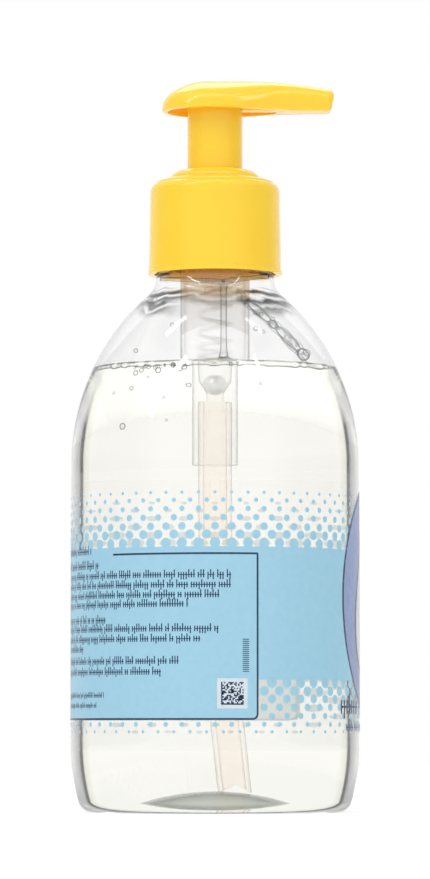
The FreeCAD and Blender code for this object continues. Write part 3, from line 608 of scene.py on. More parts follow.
@dataclass(frozen=True)
class TablePaint(Finish):
    """Matt white paint, which the eye sees a little brighter, straight or through the bottle."""

    white: str = "#FFFFFF"
    shade: float = 0.95
    lift: float = 0.04

    def surface(self, tree: Tree) -> Feed:
        """Plain matt white with a faint glow.

        Args:
            tree: the material's node tree.

        Returns:
            The shader.
        """
        rays = add_node(tree, "ShaderNodeLightPath").outputs
        seen = {0: rays["Is Camera Ray"], 1: rays["Is Transmission Ray"]}
        seen = add_node(tree, "ShaderNodeMath", seen, operation="MAXIMUM")
        glow = add_node(tree, "ShaderNodeMath", {0: seen, 1: self.lift}, operation="MULTIPLY")
        layers = {
            0: add_node(tree, "ShaderNodeBsdfDiffuse", {"Color": (*[self.shade] * 3, 1.0)}),
            1: add_node(tree, "ShaderNodeEmission", {"Color": self.white, "Strength": glow}),
        }
        return add_node(tree, "ShaderNodeAddShader", layers)


YELLOW_POLYPROPYLENE = MouldedPlastic("Yellow moulded polypropylene")
BOTTLE_PET = BlownPet("Clear blown PET")
DOME_SHADE = DomeShade("Painted dome shade")
SOAP = ClearSoap("Clear liquid soap")
NATURAL_POLYPROPYLENE = MilkyPlastic("Natural moulded polypropylene")
# The tube's edge colour is painted grey shade as well.
TUBE_POLYETHYLENE = MilkyPlastic(
    "Natural drawn polyethylene", face="#FFF6EA", edge="#C4C8CA", tint="#FFFDFB", wet_cover=0.02
)
FILM = LabelFilm("Clear label film")
SKY_INK = FlexoInk("Light blue flexo ink")
NAVY_INK = FlexoInk("Navy flexo ink", light="#2C4468", dark="#263C5E", passage=0.1)
WHITE_INK = FlexoInk("White flexo ink", light="#EEF3F6", dark="#E6EDF2", passage=0.3)
LILAC_INK = FlexoInk("Lilac blue flexo ink", light="#AFBFE6", dark="#A3B5E0")
STEEL = BrightSteel("Stainless steel")
FOAM = CellFoam("White polyethylene foam")
BUBBLE = BubbleSkin("Soap bubble skin")
TABLE_WHITE = TablePaint("Matt white table")


# ---------------------------------------------------------------- surfaces


@dataclass
class Surface:
    """Points in millimetres and the quads that join them."""

    points: np.ndarray
    faces: np.ndarray


def together(*values: np.ndarray | float) -> np.ndarray:
    """Puts coordinates side by side as the last axis of one array of points."""
    return np.stack(np.broadcast_arrays(*values), axis=-1)


def about_axis(radius: np.ndarray | float, angle: np.ndarray, height: np.ndarray | float) -> np.ndarray:
    """Points about the bottle's axis: x and y are the radius times cosine and sine."""
    return together(radius * np.cos(angle), radius * np.sin(angle), height)


def unit(vectors: np.ndarray) -> np.ndarray:
    """Rows of vectors at length one."""
    return vectors / np.linalg.norm(vectors, axis=1, keepdims=True)


def grid_surface(points: np.ndarray, wrap_rows: bool = False, wrap_columns: bool = False) -> Surface:
    """Joins a grid of points into quads, each to its next row and next column.

    Args:
        points: array of rows, columns and three coordinates.
        wrap_rows: whether the last row joins the first.
        wrap_columns: whether the last column joins the first.

    Returns:
        The surface.
    """
    rows, columns = points.shape[:2]
    row = np.arange(rows if wrap_rows else rows - 1)[:, None]
    column = np.arange(columns if wrap_columns else columns - 1)[None, :]
    next_row, next_column = (row + 1) % rows, (column + 1) % columns
    faces = together(
        row * columns + column,
        next_row * columns + column,
        next_row * columns + next_column,
        row * columns + next_column,
    )
    return Surface(points.reshape(-1, 3), faces.reshape(-1, 4))


def capped(rings: np.ndarray) -> Surface:
    """Joins closed rings and shuts both ends at their middles."""
    ends = [np.broadcast_to(r.mean(0), rings[:1].shape) for r in (rings[0], rings[-1])]
    return grid_surface(np.concatenate([ends[0], rings, ends[1]]), wrap_columns=True)


def joined(surfaces: list[Surface]) -> Surface:
    """Puts several surfaces into one, each keeping its own points.

    Args:
        surfaces: the surfaces, in order.

    Returns:
        The one surface.
    """
    starts = np.cumsum([0] + [len(s.points) for s in surfaces[:-1]])
    faces = [s.faces + start for s, start in zip(surfaces, starts)]
    return Surface(np.concatenate([s.points for s in surfaces]), np.concatenate(faces))


def arc(centre: tuple[float, float], radius: float, start: float, end: float, steps: int) -> np.ndarray:
    """Points on a circle about a centre, between two angles in degrees."""
    angle = np.radians(np.linspace(start, end, steps + 1))
    return together(centre[0] + radius * np.cos(angle), centre[1] + radius * np.sin(angle))


def rounded(corners: Corners, closed: bool = True) -> np.ndarray:
    """Rounds the corners of a profile.

    Each corner with a radius becomes the parabola that touches both edges at the radius from
    the corner, with one more point just outside each touch, so that flats shade flat.

    Args:
        corners: (across, up) or (across, up, radius) for each corner.
        closed: whether the last corner joins the first.

    Returns:
        Array of profile points.
    """
    count = len(corners)
    points = []
    share = np.linspace(0.0, 1.0, 6)[:, None]
    for number, corner in enumerate(corners):
        here = np.array(corner[:2], float)
        if len(corner) < 3 or (not closed and number in (0, count - 1)):
            points.append(here[None, :])
            continue
        before = np.array(corners[number - 1][:2], float) - here
        after = np.array(corners[(number + 1) % count][:2], float) - here
        reach = min(corner[2], 0.45 * np.linalg.norm(before), 0.45 * np.linalg.norm(after))
        first = here + before / np.linalg.norm(before) * reach
        last = here + after / np.linalg.norm(after) * reach
        bend = (1 - share) ** 2 * first + 2 * share * (1 - share) * here + share**2 * last
        leads = [(here + (touch - here) * 1.1)[None, :] for touch in (first, last)]
        points.append(np.concatenate([leads[0], bend, leads[1]]))
    return np.concatenate(points)


def turned(profile: np.ndarray, closed: bool = True, segments: int = 96) -> Surface:
    """Turns a profile about the bottle's axis.

    Args:
        profile: array of (radius, height).
        closed: whether the profile is a closed loop; if not, its ends lie on the axis.
        segments: stretches round the axis.

    Returns:
        A closed surface.
    """
    angle = np.linspace(0.0, 2 * np.pi, segments, endpoint=False)[:, None]
    points = about_axis(profile[None, :, 0], angle, profile[None, :, 1])
    return grid_surface(points, wrap_rows=True, wrap_columns=closed)


def lathe(segments: int, *corners: tuple[float, ...]) -> Surface:
    """Turns a closed profile of rounded corners."""
    return turned(rounded(list(corners)), segments=segments)


def swept(
    path: np.ndarray,
    section: np.ndarray,
    scale: np.ndarray | float = 1.0,
    up: tuple[float, float, float] = (0.0, 0.0, 1.0),
) -> Surface:
    """Carries a closed section along a path and closes both ends to a point.

    The section's first value runs sideways, square to the path and to the up direction, and
    its second runs square to both.

    Args:
        path: array of path points.
        section: array of (sideways, upward) section points.
        scale: size of the section, one value or one for each path point.
        up: a direction that the path never runs along.

    Returns:
        A closed surface.
    """
    along = unit(np.gradient(path, axis=0))
    side = unit(np.cross(along, up))
    rise = np.cross(side, along)
    size = np.broadcast_to(np.asarray(scale, float), (len(path),))[:, None, None]
    rings = (
        path[:, None, :]
        + size * section[None, :, :1] * side[:, None, :]
        + size * section[None, :, 1:] * rise[:, None, :]
    )
    ends = [np.broadcast_to(point, rings[:1].shape) for point in (path[0], path[-1])]
    return grid_surface(np.concatenate([ends[0], rings, ends[1]]), wrap_columns=True)


def circle(radius: float, count: int = 12) -> np.ndarray:
    """Points round a circle about the origin."""
    angle = np.linspace(0.0, 2 * np.pi, count, endpoint=False)
    return radius * together(np.cos(angle), np.sin(angle))


def sphere(centre: np.ndarray, radius: float) -> Surface:
    """A sphere: rings whose radius is the sine, and whose height is the cosine, of a turn.

    Args:
        centre: its middle.
        radius: its radius.

    Returns:
        A closed surface.
    """
    turn = np.linspace(0.0, np.pi, 11)[:, None]
    angle = np.linspace(0.0, 2 * np.pi, 18, endpoint=False)[None, :]
    return grid_surface(centre + radius * about_axis(np.sin(turn), angle, np.cos(turn)), wrap_columns=True)


def helix(radius: float, start: float, rise: float, turns: float, per_turn: int = 64) -> np.ndarray:
    """Points on a right-handed helix about the bottle's axis, from a height and up a rise."""
    share = np.linspace(0.0, 1.0, int(turns * per_turn) + 1)
    return about_axis(radius, 2 * np.pi * turns * share, start + rise * share)


def thread_ridge(radius: float, start: float, *corners: tuple[float, ...]) -> Surface:
    """A screw thread's ridge: a rounded wedge carried up a helix, faded in at both ends.

    Args:
        radius: distance of the ridge's root from the axis.
        start: height of its lower end.
        *corners: the wedge's (outward, up, radius) corners.

    Returns:
        A closed surface.
    """
    path = helix(radius, start, THREAD_PITCH * THREAD_TURNS, THREAD_TURNS)
    share = np.linspace(0.0, 1.0, len(path))
    fade = np.clip(np.minimum(share, 1 - share) / 0.06, 0.02, 1.0)
    return swept(path, rounded(list(corners)), fade)


def smooth_between(knots: np.ndarray, values: np.ndarray, at: np.ndarray) -> np.ndarray:
    """Cubic Hermite curve through values, with each knot's slope taken from its neighbours.

    Args:
        knots: rising places of the values.
        values: one row of values for each knot.
        at: places to read.

    Returns:
        The curve's values at those places.
    """
    slope = np.gradient(values, knots, axis=0)
    left = np.clip(np.searchsorted(knots, at, side="right") - 1, 0, len(knots) - 2)
    width = (knots[left + 1] - knots[left])[:, None]
    t = ((at - knots[left]) / width[:, 0])[:, None]
    return (
        (2 * t**3 - 3 * t**2 + 1) * values[left]
        + (t**3 - 2 * t**2 + t) * width * slope[left]
        + (3 * t**2 - 2 * t**3) * values[left + 1]
        + (t**3 - t**2) * width * slope[left + 1]
    )


def eased(values: np.ndarray, spread: int) -> np.ndarray:
    """Rounds off rows of values: each becomes the bell-weighted mean of its neighbours.

    The start is met by its mirror image, and the end by its image turned about the last row.

    Args:
        values: array of rows.
        spread: width of the bell in rows.

    Returns:
        The eased rows.
    """
    reach = 3 * spread
    weights = np.exp(-0.5 * (np.arange(-reach, reach + 1) / spread) ** 2)
    weights /= weights.sum()
    before = values[1 : reach + 1][::-1]
    after = 2 * values[-1] - values[-reach - 1 : -1][::-1]
    padded = np.concatenate([before, values, after])
    return sum(w * padded[at : at + len(values)] for at, w in enumerate(weights))


class Slot(Enum):
    """Material slots of the record."""

    PET = "clear_pet"
    LABEL = "label_film"
    SOAP = "clear_soap"
    FOAM = "gasket_foam"
    BALL = "ball_steel"
    SPRING = "spring_steel"
    TUBE = "tube_polyethylene"
    NATURAL = "natural_polypropylene"
    YELLOW = "yellow_polypropylene"


def placed(name: str, data: bpy.types.ID) -> bpy.types.Object:
    """Makes an object of a mesh, lamp or camera and puts it in the scene, at the origin.

    Args:
        name: the object's name.
        data: the mesh, lamp or camera.

    Returns:
        The object.
    """
    made = bpy.data.objects.new(name, data)
    bpy.context.scene.collection.objects.link(made)
    return made


def make_piece(
    name: str, surface: Surface, finish: Finish, body: str, slot: Slot, *replaces: str
) -> bpy.types.Object:
    """Makes a piece of the object from a surface, smooth but for edges over CREASE degrees.

    Args:
        name: the piece's name.
        surface: its points in millimetres and its faces.
        finish: what it is made of.
        body: the CAD body it rides on.
        slot: the record's material slot; not used.
        *replaces: CAD nodes that it stands for.

    Returns:
        The new object, at the origin.
    """
    mesh = bpy.data.meshes.new(name)
    mesh.from_pydata((surface.points * METRES).tolist(), [], surface.faces.tolist())
    work = bmesh.new()
    work.from_mesh(mesh)
    bmesh.ops.remove_doubles(work, verts=work.verts, dist=2e-7)
    bmesh.ops.dissolve_degenerate(work, dist=1e-8, edges=work.edges)
    bmesh.ops.recalc_face_normals(work, faces=work.faces)
    for face in work.faces:
        face.smooth = True
    for edge in work.edges:
        if len(edge.link_faces) == 2 and edge.calc_face_angle(0.0) > math.radians(CREASE):
            edge.smooth = False
    work.to_mesh(mesh)
    work.free()
    piece = placed(name, mesh)
    mesh.materials.append(finish.material())
    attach(piece, body)
    if replaces:
        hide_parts(*replaces)
    LOG.info("%s: %d faces on %s", name, len(mesh.polygons), body)
    return piece


def node_heights(node: str) -> tuple[float, float]:
    """Bottom and top of a CAD node in millimetres."""
    low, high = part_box(node)
    return low.z / METRES, high.z / METRES


def node_radius(node: str) -> float:
    """Largest radius of a round CAD node in millimetres."""
    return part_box(node)[1].y / METRES


def ends_of(node: str) -> tuple[float, float]:
    """A field that holds the bottom and top of a CAD node."""
    return field(default_factory=lambda: node_heights(node))


# ---------------------------------------------------------------- bottle and soap


@dataclass
class Bottle:
    """Blown bottle: domed base, heel, faint taper, straight body, shoulder and neck."""

    radius: float = 32.0
    wall: float = 0.6
    neck_height: float = 118.9
    neck_radius: float = 13.1
    finish_radius: float = 12.2
    bore: float = 10.6
    shoulder: float = 50.2
    hollow: float = 5.5
    taper_top: float = 14.8
    taper: float = 47.7
    heel: float = 3.2
    stand: float = 24.0
    base_rise: float = 0.5
    dome: float = 15.5
    dome_height: float = 4.6
    top: float = field(default_factory=lambda: node_heights("bottle")[1])

    def curve(self, inset: float) -> np.ndarray:
        """Profile from the dome's middle to the neck's foot, as arcs that touch each other.

        Args:
            inset: how far the profile lies inside the outer skin.

        Returns:
            Array of (radius, height).
        """
        span = self.shoulder + self.hollow
        lean = math.degrees(math.acos(1 - (self.radius - self.neck_radius) / span))
        shoulder_foot = self.neck_height - span * math.sin(math.radians(lean))
        heel_turn = math.degrees(math.asin((self.taper_top - self.heel) / (self.taper - self.heel)))
        taper_middle = self.radius - self.taper
        heel_across = taper_middle + (self.taper - self.heel) * math.cos(math.radians(heel_turn))
        rise = self.dome_height - self.base_rise
        crown = (self.dome**2 + rise**2) / (2 * rise)
        dome_turn = math.degrees(math.asin(self.dome / crown))
        neck_middle = (self.neck_radius + self.hollow, self.neck_height)
        foot = rounded(
            [
                (self.dome - 1.5, self.base_rise + inset + 1.5 * rise / self.dome),
                (self.dome, self.base_rise + inset, 1.2),
                (self.stand, inset, 1.4),
                (heel_across, inset),
            ],
            closed=False,
        )
        return np.concatenate(
            [
                arc((0.0, self.dome_height - crown + inset), crown, 90, 90 - dome_turn, 28)[:-2],
                foot[1:-1],
                arc((heel_across, self.heel), self.heel - inset, -90, -heel_turn, 18),
                arc((taper_middle, self.taper_top), self.taper - inset, -heel_turn, 0, 14)[1:],
                together(self.radius - inset, np.linspace(25, 70, 6)),
                arc((self.radius - self.shoulder, shoulder_foot), self.shoulder - inset, 0, lean, 48),
                arc(neck_middle, self.hollow + inset, 180 + lean, 180, 14)[1:],
            ]
        )

    def wall_radius(self, height: float, inset: float) -> float:
        """Radius of the body and shoulder at a height, inset from the outer skin.

        Args:
            height: height above the table.
            inset: distance in from the outer skin.

        Returns:
            The radius.
        """
        profile = self.curve(inset)
        upper = profile[profile[:, 0].argmax() :]
        return float(np.interp(height, upper[:, 1], upper[:, 0]))

    def shell(self) -> Surface:
        """One closed wall: outer skin up, round the neck's top and down the inside.

        Returns:
            A closed surface.
        """
        foot = self.neck_height + 0.05
        bead = self.neck_height + 1.7
        neck = rounded(
            [
                (self.neck_radius, foot), (self.neck_radius, bead, 0.5),
                (self.finish_radius, bead + 0.45, 0.3), (self.finish_radius, self.top, 0.35),
                (self.bore, self.top, 0.25), (self.bore, bead + 0.9, 0.6),
                (self.neck_radius - self.wall, foot),
            ],
            closed=False,
        )
        profile = np.concatenate([self.curve(0.0), neck[1:-1], self.curve(self.wall)[::-1]])
        return turned(profile, closed=False, segments=192)

    def thread(self) -> Surface:
        """The neck's thread."""
        wedge = ((-0.3, -1.1, 0.3), (0.98, -0.42, 0.3), (0.98, 0.42, 0.3), (-0.3, 1.1, 0.3))
        return thread_ridge(self.finish_radius, self.neck_height + 6.2, *wedge)

    def shade_sheet(self) -> Surface:
        """A thin cap just above the dome, which carries the painted shade where the dome shows dark.

        Its height is (1 - (radius / reach) ** 2) ** 1.2 of the dome's.

        Returns:
            A closed surface.
        """
        radius = np.linspace(0.0, self.dome + 2.8, 30)
        fall = 1 - (radius / (self.dome + 3.5)) ** 2
        low = together(radius, self.base_rise + 1.3 + (self.dome_height - 0.2) * fall**1.2)
        return turned(np.concatenate([low, low[::-1] + [0.0, 0.06]]), closed=False)

    def build(self) -> None:
        """Makes the bottle with its thread and the sheet of painted shade over its dome."""
        make_piece("bottle_shell", self.shell(), BOTTLE_PET, "bottle_body", Slot.PET, "bottle")
        make_piece("neck_thread", self.thread(), BOTTLE_PET, "bottle_body", Slot.PET)
        # A thin sheet that carries painted shade over the dome; the bottle has no such part.
        make_piece("dome_shade_sheet", self.shade_sheet(), DOME_SHADE, "bottle_body", Slot.PET)


@dataclass
class Soap:
    """The fill, with a meniscus at the wall and round the throat of the pump's housing.

    The surface stands a little below the CAD level, because soap clings in the menisci. Its
    skin lies a little inside the bottle's wall, so that light passes from one to the other
    without a film of air between them.
    """

    bottle: Bottle
    throat: float = 4.2
    bite: float = 0.25
    climb: float = 0.8
    reach: float = 2.2
    settled: float = 1.8

    @property
    def level(self) -> float:
        """Height of the surface."""
        return node_heights("soap_liquid")[1] - self.settled

    def fill(self) -> Surface:
        """Follows the wall up to the level, then the surface with its two menisci.

        The height above the level falls off with distance as an exponential.

        Returns:
            A closed surface.
        """
        inset = self.bottle.wall - self.bite
        wetted = self.bottle.curve(inset)
        top = self.level + self.climb
        edge = self.bottle.wall_radius(top, inset)
        base_points = np.arange(len(wetted)) < 40
        wetted = wetted[(wetted[:, 1] < top) | base_points]
        away = np.linspace(0.0, 1.0, 16) ** 2 * 4 * self.reach
        height = self.level + self.climb * np.exp(-away / self.reach * 1.6)
        from_wall = together(edge - away, height)
        to_throat = together(self.throat + away, height)[::-1]
        middle = [(self.throat, self.level), (0.0, self.level)]
        profile = np.concatenate([wetted, from_wall, to_throat, middle])
        return turned(profile, closed=False, segments=192)

    def build(self) -> None:
        """Makes the soap."""
        make_piece("soap_fill", self.fill(), SOAP, "bottle_body", Slot.SOAP, "soap_liquid")


@dataclass
class Froth:
    """Bubbles at the soap's surface and on the wall, and film borders above it."""

    bottle: Bottle
    level: float
    seed: int = 7

    def on_wall(self, azimuth: float, height: float, depth: float) -> np.ndarray:
        """Point inside the inner skin by a depth, at an angle from +X in degrees."""
        radius = self.bottle.wall_radius(height, self.bottle.wall + depth)
        return about_axis(radius, math.radians(azimuth), height)

    def lace_height(self, share: np.ndarray | float) -> np.ndarray | float:
        """Height of the lace of bubbles that runs down the shoulder."""
        return 114.0 - 14.8 * share**1.25

    def bubbles(self) -> Surface:
        """Loose bubbles at listed places, a raft along the wall, and more on the lace.

        Returns:
            The bubbles as one surface.
        """
        loose = (
            (-131, 84.0, 0.75), (-129, 92.3, 0.5), (-139, 91.5, 0.35), (-134, 100.9, 0.5),
            (-116, 106.5, 0.45), (-124, 97.0, 0.45), (-121, 94.6, 0.28), (-66, 105.6, 0.55),
            (-62, 104.9, 0.4), (-112, 90.0, 0.3), (-110, 85.0, 0.3), (-70, 93.0, 0.3),
            (44, 88.0, 0.6), (120, 79.0, 0.5), (150, 95.0, 0.45), (96, 91.0, 0.35),
        )
        spheres = [sphere(self.on_wall(azimuth, height, r), r) for azimuth, height, r in loose]
        chance = np.random.default_rng(self.seed)
        for start, end, count in ((-130, -104, 30), (62, 92, 14), (168, 180, 6)):
            for angle in chance.uniform(start, end, count):
                size = 0.16 + 0.55 * chance.uniform(0.0, 1.0) ** 2.2
                height = self.level - size * chance.uniform(0.9, 3.2)
                spheres.append(sphere(self.on_wall(angle, height, size), size))
        for share in chance.uniform(0.05, 1.0, 34):
            size = 0.2 + 0.3 * chance.uniform(0.0, 1.0) ** 2
            height = self.lace_height(share) + chance.uniform(-1.6, 1.8)
            spheres.append(sphere(self.on_wall(-71 + 33 * share, height, size + 0.5), size))
        for angle in np.radians(chance.uniform(-180, 180, 18)):
            size = chance.uniform(0.15, 0.5)
            height = self.level - size * chance.uniform(1.0, 4.0)
            spheres.append(sphere(about_axis(8.4, angle, height), size))
        return joined(spheres)

    def stem_and_arms(self) -> list[Surface]:
        """The upright thread beside the housing, which widens at its ends, and its four arms.

        Returns:
            One closed surface for each thread.
        """
        share = np.linspace(0.0, 1.0, 48)
        foot, crown = 100.2, 116.6
        stem = together(1.9, -9.4, foot + (crown - foot) * share)
        widen = 0.7 + 0.6 * np.exp(-share / 0.06) + 0.6 * np.exp((share - 1) / 0.05)
        threads = [swept(stem, circle(1.0), widen, up=(0.0, 1.0, 0.0))]
        for reach, start, climb in (
            (-14.0, crown, 1.3), (10.0, crown, 1.9), (-4.4, foot, -2.0), (5.4, foot, -1.8)
        ):
            arm = together(1.9 + reach * share, -9.4 + 2.6 * share, start + climb * share**0.6)
            threads.append(swept(arm, circle(0.75), 1.0 - 0.45 * share))
        return threads

    def lace(self, chance: np.random.Generator) -> list[Surface]:
        """Three chains of cells down the shoulder, each cell thick in its middle.

        Args:
            chance: source of the random draws.

        Returns:
            One closed surface for each thread.
        """
        chains = []
        for first, last, cells, girth, offset in (
            (-71, -38, 7, 1.25, 0.0), (-69, -35, 11, 0.6, 0.9), (-73, -40, 9, 0.5, -1.2)
        ):
            share = np.linspace(0.0, 1.0, 170)
            azimuth = first + (last - first) * share
            height = self.lace_height(share) + offset
            line = np.array([self.on_wall(a, h, 0.6) for a, h in zip(azimuth, height)])
            bounds = np.sort(np.concatenate([[0, 1], chance.uniform(0.08, 0.95, cells - 1)]))
            cell = np.clip(np.searchsorted(bounds, share, side="right") - 1, 0, cells - 1)
            within = (share - bounds[cell]) / (bounds[cell + 1] - bounds[cell])
            plump = chance.uniform(0.6, 1.1, cells)[cell] * (0.6 + 0.5 * share)
            belly = np.sin(np.pi * np.clip(within, 0.0, 1.0)) ** 0.5
            chains.append(swept(line, circle(1.0), girth * plump * (0.3 + 0.7 * belly)))
        return chains

    def surface_line(self, chance: np.random.Generator) -> list[Surface]:
        """Beaded threads where the soap's surface meets the wall, before and behind, which draw the
        menisci's dark lines as painted shade.

        Args:
            chance: source of the random draws.

        Returns:
            One closed surface for each thread.
        """
        lines = []
        for start, end in ((-172, -14), (20, 160)):
            azimuth = np.linspace(start, end, 240)
            beads = np.interp(azimuth, np.linspace(start, end, 60), chance.uniform(0.5, 1.0, 60))
            beads *= np.clip(np.minimum(azimuth - start, end - azimuth) / 12, 0.1, 1.0)
            # painted shade: dark threads along the menisci
            line = np.array([self.on_wall(a, self.level, 0.6) for a in azimuth])
            lines.append(swept(line, circle(0.9), beads))
        return lines

    def build(self) -> None:
        """Makes the bubbles and the film borders."""
        make_piece("soap_bubbles", self.bubbles(), BUBBLE, "bottle_body", Slot.SOAP)
        chance = np.random.default_rng(self.seed + 4)
        borders = self.stem_and_arms() + self.lace(chance) + self.surface_line(chance)
        make_piece("film_borders", joined(borders), BUBBLE, "bottle_body", Slot.SOAP)


# ---------------------------------------------------------------- label


class Layer(Enum):
    """Heights of the printed layers above the film, in millimetres."""

    FIELD = 0.012
    PATCH = 0.024
    LINE = 0.036
    DETAIL = 0.048
    TOP = 0.060


@dataclass
class Label:
    """Film wrapped round the body, with its print as fields of ink on the film.

    Places are given as an arc length from +X, positive towards +Y, and a height.
    """

    bottle: Bottle
    film: float = 0.08
    ink: float = 0.010
    dots_round: int = 56
    front_turn: float = 73.4
    seed: int = 11
    radius: float = field(default_factory=lambda: node_radius("label"))
    heights: tuple[float, float] = ends_of("label")

    def length(self, azimuth: float) -> float:
        """Arc length on the film for an angle from +X in degrees."""
        return math.radians(azimuth) * self.radius

    def wrap(self, places: np.ndarray, radius: float) -> np.ndarray:
        """Puts (arc length, height) places on a cylinder of that radius."""
        return about_axis(radius, places[..., 0] / self.radius, places[..., 1])

    def skins(self, layer: Layer) -> tuple[float, float]:
        """Inner and outer radius of an ink layer."""
        return self.radius + layer.value - self.ink, self.radius + layer.value

    def band(self, middle: np.ndarray, width: float, layer: Layer) -> Surface:
        """A strip of ink of a width along a line of places, closed all round.

        Args:
            middle: array of (round, height) places along the line.
            width: the strip's width.
            layer: the layer it is printed in.

        Returns:
            A closed surface.
        """
        along = unit(np.gradient(middle, axis=0))
        aside = together(-along[:, 1], along[:, 0]) * width / 2
        left, right = middle + aside, middle - aside
        inner, outer = self.skins(layer)
        edges = ((left, inner), (left, outer), (right, outer), (right, inner))
        return capped(np.stack([self.wrap(places, radius) for places, radius in edges], axis=1))

    def block(self, start: float, end: float, bottom: float, top: float, layer: Layer) -> Surface:
        """A plain rectangle of ink between two arc lengths and two heights."""
        along = np.linspace(start, end, max(2, int(abs(end - start) / 0.8)))
        return self.band(together(along, (bottom + top) / 2), top - bottom, layer)

    def patch(self, outlines: np.ndarray, centres: np.ndarray, rings: int, layer: Layer) -> Surface:
        """Filled shapes: rings shrunk from each outline to its centre, on both skins.

        Args:
            outlines: array of shapes, outline points and two values.
            centres: array of the shapes' centres.
            rings: rings from centre to outline.
            layer: the layer they lie in.

        Returns:
            One closed surface for each shape, joined.
        """
        share = np.linspace(0.0, 1.0, rings + 1)[None, None, :, None]
        middle = centres[:, None, None, :]
        spread = middle + share * (outlines[:, :, None, :] - middle)
        inner, outer = self.skins(layer)
        both = np.concatenate([self.wrap(spread, outer), self.wrap(spread, inner)[:, :, ::-1]], 2)
        return joined([grid_surface(shape, wrap_rows=True) for shape in both])

    def dots(self, rows: tuple[tuple[float, float], ...], first: int, front_only: bool) -> Surface:
        """Rows of a staggered halftone.

        Args:
            rows: height and dot radius of each row.
            first: number of the first row, which sets which rows are offset.
            front_only: whether the rows stop at the front region's edges.

        Returns:
            The dots, joined.
        """
        half = math.pi * self.radius
        shapes, centres = [], []
        for number, (height, radius) in enumerate(rows, start=first):
            along = (np.arange(self.dots_round) + 0.5 * (number % 2)) * (2 * half / self.dots_round)
            along = (along + half) % (2 * half) - half
            if front_only:
                along = along[np.abs(along) < self.length(self.front_turn) - 0.4]
            middle = together(along, height)
            shapes.append(middle[:, None, :] + circle(radius, 18)[None, :, :])
            centres.append(middle)
        return self.patch(np.concatenate(shapes), np.concatenate(centres), 1, Layer.FIELD)

    def sky_print(self) -> Surface:
        """Light blue: halftone, solid band, and the back panel's solid down to its outline.

        Returns:
            All of this ink as one surface.
        """
        edge, half = self.length(self.front_turn), math.pi * self.radius
        upper = (
            (69.3, 0.36), (67.65, 0.48), (65.8, 0.58), (63.9, 0.71), (62.0, 0.84),
            (60.25, 1.0), (58.4, 1.13),
        )
        middle = ((28.3, 1.16), (26.5, 1.05), (24.8, 0.94), (23.0, 0.82), (21.1, 0.68))
        dots = [
            self.dots(upper, 0, False),
            self.dots(middle, 1, True),
            self.dots(((19.3, 0.53), (17.7, 0.36)), 0, False),
        ]
        solids = ((-edge, edge, 28.9), (edge, half, 20.4), (-half, -edge, 20.4))
        return joined(dots + [self.block(a, b, low, 57.6, Layer.FIELD) for a, b, low in solids])

    def ellipse(self, wide: float, tall: float) -> np.ndarray:
        """Outline of the front badge with the given half axes."""
        return circle(1.0, 96) * np.array([wide, tall]) + np.array([0, 47])

    def drop(self, wide: float, tall: float) -> np.ndarray:
        """Outline of a drop: half width times sine of the turn and of half of it squared."""
        turn = np.linspace(0.0, 2 * np.pi, 96, endpoint=False)
        return together(wide * np.sin(turn) * np.sin(turn / 2) * 1.3, 46.5 + tall * np.cos(turn))

    def filled(self, outline: np.ndarray, layer: Layer) -> Surface:
        """One filled outline about its own middle."""
        return self.patch(outline[None], outline.mean(0)[None], 10, layer)

    def words(
        self, start: float, end: float, base: float, tall: float, pitch: float, seed: int
    ) -> list[Surface]:
        """A line of plain strokes that stands for small print and spells nothing.

        Strokes of one width stand at an even pitch in groups as long as words, some taller,
        some lower, and a thinner bar runs through each group at half height.

        Args:
            start: arc length where the line starts.
            end: arc length where it ends.
            base: height of the base line.
            tall: height of a short stroke.
            pitch: distance between strokes.
            seed: start of the chance that picks groups and strokes.

        Returns:
            The strokes and bars.
        """
        chance = np.random.default_rng(seed)
        step = 1 if end > start else -1
        made = []
        at = start
        while (end - at) * step > pitch:
            letters = int(chance.integers(2, 11))
            letters = max(1, min(letters, int(abs(end - at) / pitch)))
            bar = sorted((at, at + (letters - 0.55) * pitch * step))
            made.append(self.block(*bar, base + tall * 0.44, base + tall * 0.60, Layer.LINE))
            for number in range(letters):
                kind = chance.integers(0, 6)
                foot = base - (tall * 0.35 if kind == 0 else 0.0)
                head = base + tall * (1.45 if kind in (1, 2) else 1.0)
                mark = together(at + number * pitch * step, np.linspace(foot, head, 3))
                made.append(self.band(mark, pitch * 0.46, Layer.LINE))
            at += (letters + 0.7) * pitch * step
        return made

    def outline(self, side: int) -> Surface:
        """The back panel's navy line on one side: top stretch, upright, round corner, foot.

        Args:
            side: minus one for the panel's left side, one for its right.

        Returns:
            A closed surface.
        """
        edge = self.length(self.front_turn)
        corner, foot = 1.1, 20.45
        path = np.concatenate(
            [
                together(np.linspace(self.length(133.6), edge, 60), 56.1),
                together(edge, np.linspace(55.9, foot + corner + 0.2, 12)),
                arc((edge + corner, foot + corner), corner, 180, 270, 7),
                together(np.linspace(edge + corner + 0.3, self.length(180), 90), foot),
            ]
        )
        return self.band(path * [side, 1], 0.42, Layer.LINE)

